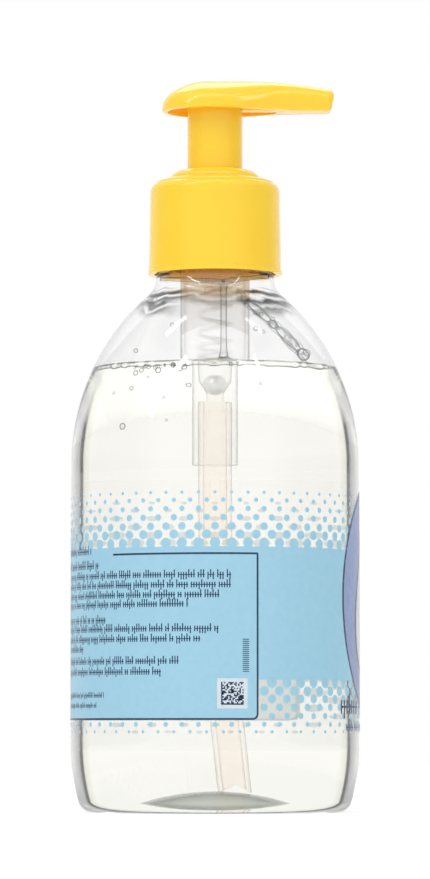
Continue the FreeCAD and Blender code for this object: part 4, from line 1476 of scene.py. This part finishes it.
    def column(self, side: int) -> list[Surface]:
        """One column of small print on one side of the panel.

        Each line gives its base, the angle of its free end and the height of a short stroke.

        Args:
            side: minus one for the panel's left side, one for its right.

        Returns:
            One closed surface for each stroke.
        """
        lines = (
            (56.3, 146.2, 1.35), (53.1, 141.4, 1.35), (50.9, 82.3, 1.2), (48.75, 82.7, 1.2),
            (46.6, 86.8, 1.2), (44.6, 98.9, 1.2), (41.2, 137.1, 1.3), (39.3, 87.6, 1.2),
            (37.1, 94.4, 1.2), (35.0, 152.6, 1.2), (32.3, 102.6, 1.2), (30.0, 110.4, 1.2),
            (25.1, 138.0, 0.85), (22.9, 142.7, 0.85),
        )
        made = []
        for number, (base, turn, tall) in enumerate(lines):
            if side > 0:
                start = self.length(84)
                end = start + self.length(172 - turn)
            else:
                start = self.length(-172)
                end = self.length(-turn)
            made += self.words(start, end, base, tall, tall * 0.47, self.seed * 50 + number)
        return made

    def navy_print(self) -> Surface:
        """Navy: panel outline, small print, side bars, block code, badge outline and title bars.

        Returns:
            All of this ink as one surface.
        """
        made = [self.outline(-1), self.outline(1)] + self.column(-1) + self.column(1)
        left, right = self.length(-79.3), self.length(-76.8)
        for bottom in 30.6 + 0.43 * np.arange(17):
            made.append(self.block(left, right, bottom, bottom + 0.2, Layer.LINE))
        chance = np.random.default_rng(self.seed)
        cell = 4.9 / 16
        corner = self.length(-83.3) - 2.45
        for row in range(16):
            for place in range(16):
                if row == 0 or place == 0 or chance.random() < 0.48:
                    start, bottom = corner + place * cell, 23.5 + row * cell
                    made.append(self.block(start, start + cell, bottom, bottom + cell, Layer.DETAIL))
        made.append(self.filled(self.ellipse(16.8, 24.1), Layer.PATCH))
        made.append(self.filled(self.drop(9.4, 16.2), Layer.DETAIL))
        made += self.words(-17.2, 17.2, 21.6, 3.0, 1.35, 5)
        made += self.words(-15.0, 15.0, 17.9, 1.5, 0.75, 6)
        return joined(made)

    def build(self) -> None:
        """Makes the film, with its seam at the back, and its four inks."""
        low, high = self.heights
        walls = np.array([self.radius - self.film, self.radius, self.radius, self.radius - self.film])
        angle = np.radians(np.linspace(90.75, 449.25, 181))[:, None]
        sheet = capped(about_axis(walls, angle, np.array([low, low, high, high])))
        code_ground = self.block(self.length(-89.2), self.length(-77.4), 22.7, 29.2, Layer.LINE)
        white = joined([code_ground, self.filled(self.drop(8.2, 14.9), Layer.TOP)])
        lilac = self.filled(self.ellipse(16.0, 23.3), Layer.LINE)
        make_piece("label_film", sheet, FILM, "bottle_body", Slot.LABEL, "label")
        make_piece("label_sky_ink", self.sky_print(), SKY_INK, "bottle_body", Slot.LABEL)
        make_piece("label_navy_ink", self.navy_print(), NAVY_INK, "bottle_body", Slot.LABEL)
        make_piece("label_white_ink", white, WHITE_INK, "bottle_body", Slot.LABEL)
        make_piece("label_lilac_ink", lilac, LILAC_INK, "bottle_body", Slot.LABEL)


# ---------------------------------------------------------------- pump


@dataclass
class PumpEngine:
    """Housing, gasket, valves, spring and dip tube: what works inside the bottle."""

    flange: tuple[float, float] = ends_of("neck_gasket")
    housing_ends: tuple[float, float] = ends_of("pump_housing")
    tube_top: float = field(default_factory=lambda: node_heights("dip_tube")[1])
    coil_ends: tuple[float, float] = ends_of("spring")
    tube_low: float = 5.8
    tube_radius: float = 2.8
    tube_bore: float = 2.0
    tube_straight: float = 20.0
    tube_curve: float = 600.0
    notch: float = 1.8
    barrel_depth: float = 10.5
    chamber_length: float = 28.2
    wire: float = 0.85
    coil_radius: float = 3.7
    coils: float = 6.5
    travel: float = 11.5

    def housing(self) -> Surface:
        """The moulding's profile, outside up and inside down, with small round edges.

        Returns:
            A closed surface.
        """
        low, top = self.housing_ends
        floor = top - self.barrel_depth
        base = floor - self.chamber_length
        throat, cage = base - 0.9, base - 7.8
        return lathe(
            96,
            (3.75, low, 0.3), (3.75, throat - 4.2, 0.8), (4.5, throat, 0.5), (7.7, throat, 0.8),
            (7.7, floor - 1.75, 0.5), (9.0, floor - 0.75, 0.5), (9.0, self.flange[1], 0.2),
            (12.3, self.flange[1], 0.3), (12.3, top, 0.3), (8.25, top, 0.3), (8.25, floor, 0.2),
            (6.9, floor, 0.3), (6.9, base, 0.4), (3.0, base, 0.4), (2.7, cage, 0.3),
            (1.4, cage - 2.3, 0.2), (1.4, self.tube_top, 0.1), (2.82, self.tube_top, 0.1),
            (2.82, low, 0.2),
        )

    def tube(self) -> Surface:
        """Both walls of the tube on a straight line that turns into one long arc.

        The lower end rises in a V across the tube, highest over its middle.

        Returns:
            A closed surface.
        """
        bend = self.tube_top - self.tube_straight
        fall = math.asin((bend - self.tube_low) / self.tube_curve)
        angle = np.linspace(0.0, fall, 28)
        straight = np.linspace(self.tube_top, bend, 8, endpoint=False)
        aside = np.concatenate([np.zeros(8), self.tube_curve * (1 - np.cos(angle))])[:, None]
        height = np.concatenate([straight, bend - self.tube_curve * np.sin(angle)])[:, None]
        lean = np.concatenate([np.zeros(8), angle])[:, None]
        turn = np.linspace(0.0, 2 * np.pi, 40, endpoint=False)
        walls = []
        for radius in (self.tube_radius, self.tube_bore):
            across = radius * np.cos(turn)
            ring = together(
                aside + across * np.cos(lean), radius * np.sin(turn), height + across * np.sin(lean)
            )
            ring[-1, :, 2] = self.tube_low + self.notch * (1 - np.abs(across) / (self.tube_radius + 0.3))
            walls.append(ring)
        loop = np.concatenate([walls[0], walls[1][::-1]])
        return grid_surface(loop, wrap_rows=True, wrap_columns=True)

    def spring(self) -> Surface:
        """Round wire on a helix whose end coils lie nearly shut.

        Returns:
            A closed surface.
        """
        low, high = self.coil_ends
        half = self.wire / 2
        path = helix(self.coil_radius, 0.0, 1.0, self.coils, 40)
        share = np.linspace(0.0, 1.0, len(path))
        climbed = share - 0.55 * np.sin(2 * np.pi * share) / (2 * np.pi)
        path[:, 2] = low + half + (high - low - self.wire) * climbed
        return swept(path, circle(half, 14))

    def ball(self) -> Surface:
        """The ball: rings whose radius is the sine, and whose height is the cosine, of a turn.

        Returns:
            A closed surface.
        """
        low, high = node_heights("inlet_ball")
        profile = arc((0.0, (high + low) / 2), (high - low) / 2, 90, -90, 32)
        profile[[0, -1], 0] = 0.0
        return turned(profile, closed=False, segments=48)

    def stem(self) -> Surface:
        """Hollow stem with its driving collar, which stands just above the piston's hub.

        Returns:
            A closed surface.
        """
        low, high = node_heights("stem")
        collar = node_heights("piston")[0] + 8.05
        return lathe(
            72,
            (1.9, low, 0.15), (3.2, low, 0.2), (3.2, collar, 0.2), (4.3, collar, 0.2),
            (4.3, collar + 0.8, 0.3), (3.2, collar + 1.3, 0.3), (3.2, high, 0.25), (1.9, high, 0.15),
        )

    def plug(self) -> Surface:
        """Plug with its flange and the spigot inside the spring.

        Returns:
            A closed surface.
        """
        low, high = node_heights("stem_plug")
        flange = high - 6.0
        corners = [
            (0.0, low), (2.4, low, 0.5), (2.4, flange - 1.4, 0.2), (4.7, flange - 1.4, 0.2),
            (4.7, flange - 0.4, 0.3), (3.2, flange, 0.2), (1.88, flange, 0.1), (1.88, high, 0.5),
            (0.0, high),
        ]
        return turned(rounded(corners, closed=False), closed=False, segments=72)

    def piston(self) -> Surface:
        """Hub, web and skirt with a flared wiping lip at each end.

        Returns:
            A closed surface.
        """
        low, high = node_heights("piston")
        web, hub = (low + high) / 2, low + 7.0
        return lathe(
            96,
            (3.25, low, 0.15), (4.2, low, 0.2), (4.2, web, 0.3), (5.9, web, 0.3),
            (5.9, low + 1.2, 0.3), (6.5, low, 0.1), (6.86, low + 0.1, 0.1), (6.6, low + 1.4, 0.3),
            (6.6, high - 1.4, 0.3), (6.86, high - 0.1, 0.1), (6.5, high, 0.1), (5.9, high - 1.2, 0.3),
            (5.9, web + 1.0, 0.3), (4.2, web + 1.0, 0.3), (4.2, hub, 0.2), (3.25, hub, 0.15),
        )

    def gasket(self) -> Surface:
        """Flat washer with edges crushed a little round.

        Returns:
            A closed surface.
        """
        low, high = self.flange
        outer = node_radius("neck_gasket")
        return lathe(96, (9.4, low, 0.2), (outer, low, 0.3), (outer, high, 0.3), (9.4, high, 0.2))

    def build(self) -> None:
        """Makes the pieces, and gives the spring a mesh of its own."""
        natural, slot = NATURAL_POLYPROPYLENE, Slot.NATURAL
        make_piece("housing", self.housing(), natural, "pump_body", slot, "pump_housing")
        make_piece("drawn_tube", self.tube(), TUBE_POLYETHYLENE, "pump_body", Slot.TUBE, "dip_tube")
        make_piece("washer", self.gasket(), FOAM, "pump_body", Slot.FOAM, "neck_gasket")
        make_piece("valve_ball", self.ball(), STEEL, "ball_body", Slot.BALL, "inlet_ball")
        make_piece("hollow_stem", self.stem(), natural, "stem_body", slot, "stem")
        make_piece("plug", self.plug(), natural, "stem_body", slot, "stem_plug")
        make_piece("piston_cup", self.piston(), natural, "piston_body", slot, "piston")
        coils = make_piece("return_spring", self.spring(), STEEL, "pump_body", Slot.SPRING, "spring")
        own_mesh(coils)


@dataclass
class Closure:
    """Screw collar with its thread, and the domed ring that locks it to the housing."""

    lip_radius: float = field(default_factory=lambda: node_radius("collar"))
    ends: tuple[float, float] = ends_of("collar")
    bore: float = 13.55
    groove: float = 133.3  # foot of the snap groove in the ring's skirt

    def collar(self) -> Surface:
        """Drafted skirt on a fine lip, with a rounded shoulder that runs into a flat crown.

        Returns:
            A closed surface.
        """
        foot, top = self.ends
        under = top - 1.4
        skirt = rounded(
            [
                (10.6, under, 0.2), (self.bore, under, 0.4), (self.bore, foot, 0.2),
                (self.lip_radius, foot, 0.22), (self.lip_radius, foot + 0.9, 0.2),
                (14.75, foot + 1.0, 0.1),
            ],
            closed=False,
        )
        shoulder = [arc((12.55, top - 2.4), 1.9, 2, 68, 12), arc((5.75, top - 19.05), 20.2, 68.8, 77.4, 5)]
        crown = [(10.15, top, 0.2), (8.35, top, 0.25), (8.35, under, 0.2), (9.2, under)]
        return turned(np.concatenate([skirt, *shoulder, rounded(crown, closed=False)[1:]]), segments=192)

    def thread(self) -> Surface:
        """The collar's thread, half a pitch from the neck's."""
        wedge = ((0.3, 1.05, 0.3), (-0.98, 0.4, 0.3), (-0.98, -0.4, 0.3), (0.3, -1.05, 0.3))
        return thread_ridge(self.bore, self.ends[0] + 5.6 - THREAD_PITCH / 2, *wedge)

    def lock_ring(self) -> Surface:
        """Domed flank above the collar, snap skirt below, and two guide bands in the bore.

        The flank is a quarter wave from the foot to the top edge.

        Returns:
            A closed surface.
        """
        low, high = node_heights("lock_ring")
        foot = self.ends[1] + 0.05
        edge = foot + 0.35
        turn = np.linspace(0.0, 1.0, 16) * np.pi / 2
        flank = together(10.1 - 3.2 * (1 - np.cos(turn)) ** 0.9, edge + (high - edge) * np.sin(turn))
        inside = rounded(
            [
                (6.9, high), (6.23, high, 0.25), (6.23, high - 4.4, 0.3), (7.2, high - 5.4, 0.3),
                (7.2, low + 3.0, 0.3), (6.23, low + 2.0, 0.3), (6.23, low, 0.2), (8.2, low, 0.3),
                (8.2, self.groove, 0.2), (8.45, self.groove + 0.5, 0.2),
                (8.45, self.groove + 1.0, 0.2), (8.2, self.groove + 1.5, 0.2),
                (8.2, foot, 0.2), (10.1, foot, 0.12), (10.1, edge),
            ],
            closed=False,
        )
        return turned(np.concatenate([flank[1:], inside[1:]]), segments=144)

    def build(self) -> None:
        """Makes the collar, its thread and the lock ring."""
        yellow = YELLOW_POLYPROPYLENE
        make_piece("screw_collar", self.collar(), yellow, "collar_body", Slot.YELLOW, "collar")
        make_piece("collar_thread", self.thread(), yellow, "collar_body", Slot.YELLOW)
        make_piece("domed_ring", self.lock_ring(), yellow, "pump_body", Slot.YELLOW, "lock_ring")


@dataclass
class PumpHead:
    """Saddle head: domed back, tapering spout with its outlet, hollow underside and sleeve.

    Each station gives its place along X, half width, height and upright edge above the rim.
    """

    stations: tuple[tuple[float, float, float, float], ...] = (
        (-1.8, 10.2, 6.9, 0.6), (3.0, 9.75, 6.9, 0.6), (6.8, 8.2, 6.9, 0.9), (10.2, 6.3, 6.85, 1.8),
        (13.6, 4.85, 6.75, 2.8), (18.2, 3.85, 6.2, 3.1), (22.8, 3.35, 5.5, 2.8),
        (25.8, 3.0, 5.0, 2.6), (26.9, 2.5, 4.6, 2.6),
    )
    corner_share: float = 0.68
    wall: float = 1.2
    hollow_end: float = 13.6
    outlet_up: float = 2.3
    nose: float = 1.6
    rim: float = 156.1

    def half_arch(self, sizes: np.ndarray, inset: np.ndarray) -> np.ndarray:
        """Half of the arch at each station, from its foot to its crown.

        An upright edge turns into a corner circle, which touches a wide crown circle that is
        level in the middle.

        Args:
            sizes: half width, height and upright edge of each station.
            inset: how far the arch lies inside the skin at each station.

        Returns:
            Array of stations, points and (outward, up).
        """
        wide, high, upright = sizes.T[:, :, None]
        rise = high - upright
        corner = rise * self.corner_share
        crown = (wide**2 - 2 * wide * corner + rise**2) / (2 * (rise - corner))
        meet = np.arctan2(crown - rise, wide - corner)
        low = np.linspace(0.0, 1.0, 11) * meet
        top = meet + np.linspace(0.0, 1.0, 15)[1:] * (np.pi / 2 - meet)
        small, large = corner - inset[:, None], crown - inset[:, None]
        across = np.concatenate([wide - corner + small * np.cos(low), large * np.cos(top)], axis=1)
        up = np.concatenate([small * np.sin(low), rise - crown + large * np.sin(top)], axis=1)
        across[:, -1] = 0.0
        return together(across, upright + up)

    def outside(self, sizes: np.ndarray, shrink: np.ndarray) -> np.ndarray:
        """Half loops of the outer skin: a small lip at the rim, then the arch.

        Args:
            sizes: half width, height and upright edge of each station.
            shrink: how far each station's loop is drawn in, where the nose rounds off.

        Returns:
            Array of stations, points and (outward, up).
        """
        arch = self.half_arch(sizes, shrink)
        lip = np.repeat(arch[:, :1, :], 3, axis=1)
        lip[..., 0] -= [0.35, 0.1, 0.0]
        lip[..., 1] = np.array([0.0, 0.1, 0.35]) + shrink[:, None] * 0.8
        return np.concatenate([lip, arch], axis=1)

    def inside(self, along: np.ndarray, sizes: np.ndarray, shrink: np.ndarray) -> np.ndarray:
        """Half loops of the hollow, which flattens out to nothing towards the spout.

        Args:
            along: each station's place along the spout.
            sizes: half width, height and upright edge of each station.
            shrink: how far each station's loop is drawn in, where the nose rounds off.

        Returns:
            Array of stations, points and (outward, up).
        """
        closing = np.clip((self.hollow_end - along) / 4.2, 0.0, 1.0)
        openness = np.sqrt(1 - (1 - closing) ** 2)[:, None]
        arch = self.half_arch(sizes, np.full(len(along), self.wall))
        arch[..., 0] *= 0.55 + 0.45 * openness
        arch[..., 1] = arch[..., 1] * openness + shrink[:, None] * 0.8
        start = arch[:, :1, :].copy()
        start[..., 1] = shrink[:, None] * 0.8
        return np.concatenate([start, arch], axis=1)

    def outlet(self, face: np.ndarray) -> np.ndarray:
        """Rings that shrink from the nose's last loop to the outlet and run up its bore.

        Args:
            face: the nose's last loop of points.

        Returns:
            Array of rings, points and three coordinates.
        """
        centre = np.array([face[:, 0].mean(), 0.0, self.rim + self.outlet_up])
        away = unit((face - centre) * [0.0, 1.0, 1.0])
        lean_back = -0.22 * (1 - away[:, 2:]) * [[1.0, 0.0, 0.0]]
        rings = ((1.75, 0.02), (1.5, -0.15), (1.45, -1.5), (1.4, -7.0), (0.0, -7.0))
        return np.stack([centre + away * radius + lean_back + [depth, 0, 0] for radius, depth in rings])

    def skin(self) -> Surface:
        """The whole moulding but its sleeve, as one closed loop of points at each station.

        A loop runs up the right outside, over the crown, down the left, in along the rim and
        back through the hollow. The back is the first loop turned about the dome's middle.

        Returns:
            A closed surface.
        """
        table = np.array(self.stations)
        start, tip = table[0, 0], table[-1, 0]
        along = np.concatenate([np.linspace(start, 24.6, 76), np.linspace(24.9, tip, 12)])
        sizes = smooth_between(table[:, 0], table[:, 1:], along)
        blend = np.clip((24.4 - along) / 5.0, 0.0, 1.0)[:, None]
        sizes = blend * eased(sizes, 8) + (1 - blend) * sizes
        nose = np.clip((along - (tip - self.nose)) / self.nose, 0.0, 1.0)
        shrink = (1 - np.sqrt(1 - nose**2 * 0.97)) * 0.9
        outer, inner = self.outside(sizes, shrink), self.inside(along, sizes, shrink)
        halves = ((outer, 1), (outer[:, ::-1][:, 1:], -1), (inner, -1), (inner[:, ::-1][:, 1:], 1))
        across = np.concatenate([half[..., 0] * side for half, side in halves], axis=1)
        up = np.concatenate([half[..., 1] for half, side in halves], axis=1)
        sides = np.concatenate([np.full(half.shape[1], side) for half, side in halves])
        slant = np.clip((along - 24.2) / 2.7, 0, 1)[:, None] ** 2
        loops = together(along[:, None] - slant * np.clip(1 - up / 4.6, 0, 1), across, self.rim + up)
        turn = np.radians(np.linspace(90, 3, 26))[:, None]
        reach = np.abs(across[:1])
        back = together(start - reach * np.sin(turn), reach * np.cos(turn) * sides, self.rim + up[:1])
        return grid_surface(np.concatenate([back, loops, self.outlet(loops[-1])]), wrap_columns=True)

    def build(self) -> None:
        """Makes the head as one moulding: skin, sleeve, post with its socket, and channel."""
        rim, low = self.rim, node_heights("pump_head")[0]
        sleeve = lathe(
            128,
            (5.15, low, 0.15), (6.15, low, 0.3), (6.15, rim + 3.2, 0.5),
            (6.35, rim + 4.2, 0.1), (5.15, rim + 4.9, 0.1),
        )
        post = lathe(
            64,
            (3.22, rim - 11.0, 0.3), (4.2, rim - 11.0, 0.2), (4.2, rim + 5.3, 0.2),
            (0.0, rim + 5.3), (0.0, rim + 1.6), (3.22, rim + 1.6, 0.2),
        )
        path = together(np.linspace(4.0, 15.0, 24), 0.0, rim + 2.9)
        corners = [(-2.3, -2.75, 1.2), (2.3, -2.75, 1.2), (2.3, 2.2, 0.3), (-2.3, 2.2, 0.3)]
        moulding = joined([self.skin(), sleeve, post, swept(path, rounded(corners))])
        yellow = YELLOW_POLYPROPYLENE
        make_piece("saddle_head", moulding, yellow, "head_body", Slot.YELLOW, "pump_head")


# ---------------------------------------------------------------- studio


@dataclass
class Studio:
    """White sweep, soft world, six soft boxes and a camera just above the table."""

    eye: tuple[float, float, float] = (0.0, -1.0, 0.018)
    aim: tuple[float, float, float] = (0.0, 0.0, 0.0827)
    lens: float = 184.15
    ceiling: str = "#E0E2E0"
    wall: str = "#FBFBFB"
    side: str = "#BEBEBE"
    dimmed: float = 0.11  # share of the world's diffuse light that is held back
    table_reach: float = 1.3
    lamp_reach: float = 0.9

    def world(self) -> None:
        """White to the eye; to everything else, white near the horizon and greyer overhead."""
        world = bpy.data.worlds.new("soft_studio")
        tree = blank_tree(world)
        direction = add_node(tree, "ShaderNodeTexCoord").outputs["Generated"]
        direction = add_node(tree, "ShaderNodeSeparateXYZ", {"Vector": direction}).outputs
        climb = add_node(tree, "ShaderNodeMapRange", {"Value": direction["Z"], "From Min": -1.0})
        tones = (
            (0.0, "#E8E8E8"), (0.48, self.wall), (0.87, self.wall),
            (0.92, self.ceiling), (0.97, self.ceiling), (1.0, "#D9DADA"),
        )
        beside = add_node(tree, "ShaderNodeMath", {0: direction["X"]}, operation="ABSOLUTE")
        beside = {"Value": beside, "From Min": 0.7, "From Max": 0.95}
        layers = {
            "Factor": add_node(tree, "ShaderNodeMapRange", beside),
            6: add_node(tree, "ShaderNodeValToRGB", {"Fac": climb}, tones),
            7: self.side,
        }
        around = add_node(tree, "ShaderNodeMix", layers, data_type="RGBA")
        rays = add_node(tree, "ShaderNodeLightPath").outputs
        layers = {"Factor": rays["Is Camera Ray"], 6: around, 7: "#FFFFFF"}
        dimming = {0: rays["Is Diffuse Ray"], 1: -self.dimmed, 2: 1.0}
        shine = {
            "Color": add_node(tree, "ShaderNodeMix", layers, data_type="RGBA"),
            "Strength": add_node(tree, "ShaderNodeMath", dimming, operation="MULTIPLY_ADD"),
        }
        shine = add_node(tree, "ShaderNodeBackground", shine)
        add_node(tree, "ShaderNodeOutputWorld", {"Surface": shine})
        bpy.context.scene.world = world

    def floor(self) -> None:
        """Matt white table, which keeps the bottle's soft shadow."""
        mesh = bpy.data.meshes.new("table")
        signs = ((-1, -1), (1, -1), (1, 1), (-1, 1))
        corners = [(x * self.table_reach, y * self.table_reach, 0) for x, y in signs]
        mesh.from_pydata(corners, [], [range(4)])
        table = placed("table", mesh)
        mesh.materials.append(TABLE_WHITE.material())

    def soft_box(
        self,
        name: str,
        turn: float,
        height: float,
        size: tuple[float, float],
        glow: float,
        lean: float = 0.0,
    ) -> None:
        """Adds an area lamp that faces the bottle.

        Args:
            name: the lamp's name.
            turn: degrees round from the camera, positive to the camera's right.
            height: height of its middle in metres.
            size: width and height in metres.
            glow: brightness of its face, where one is white.
            lean: degrees that its top leans over, positive to the camera's right.
        """
        lamp = bpy.data.lights.new(name, "AREA")
        lamp.shape = "RECTANGLE"
        lamp.size, lamp.size_y = size
        lamp.energy = glow * math.pi * size[0] * size[1]
        box = placed(name, lamp)
        angle = math.radians(turn)
        box.location = (self.lamp_reach * math.sin(angle), -self.lamp_reach * math.cos(angle), height)
        track = frame["bodies"]["bottle_body"].location - box.location
        track.z = 0.1 - height
        roll = Quaternion((0.0, 0.0, 1.0), math.radians(lean))
        box.rotation_euler = (track.to_track_quat("-Z", "Y") @ roll).to_euler()

    def camera(self) -> None:
        """Long lens at the height of the bottle's foot, tilted up a little."""
        data = bpy.data.cameras.new("eye")
        data.lens = self.lens
        data.sensor_width = 36.0
        data.clip_end = 20.0
        eye = placed("eye", data)
        eye.location = self.eye
        look = [a - b for a, b in zip(self.aim, self.eye)]
        eye.rotation_euler = (math.pi / 2 + math.atan2(look[2], look[1]), 0.0, 0.0)
        bpy.context.scene.camera = eye

    def build(self) -> None:
        """Sets up the world, the table, the lamps and the camera.

        The light paths are long, because light passes many clear walls on its way through.
        """
        self.world()
        self.floor()
        self.soft_box("left_strip", -48, 0.80, (0.07, 0.75), 13.0, lean=-24)
        self.soft_box("right_strip", 50, 0.80, (0.05, 0.6), 8.0)
        self.soft_box("left_top", -84, 1.95, (0.12, 0.5), 5.0)
        self.soft_box("right_top", 84, 1.95, (0.08, 0.4), 4.0)
        self.soft_box("high_front", 0, 2.10, (1.9, 0.8), 1.9)
        self.soft_box("back_box", 180, 1.30, (1.1, 0.6), 2.6)
        self.camera()
        scene = bpy.context.scene
        scene.view_settings.view_transform = "Standard"
        scene.cycles.max_bounces = 32
        scene.cycles.diffuse_bounces = 12
        scene.cycles.transmission_bounces = 32
        scene.cycles.transparent_max_bounces = 64


def main() -> None:
    """Builds every sub-assembly, then the studio."""
    logging.basicConfig(level=logging.INFO, format="%(name)s: %(message)s")
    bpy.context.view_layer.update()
    bottle = Bottle()
    soap = Soap(bottle)
    froth = Froth(bottle, soap.level)
    for part in (bottle, soap, froth, Label(bottle), PumpEngine(), Closure(), PumpHead(), Studio()):
        part.build()


if __name__ == "__main__":
    main()
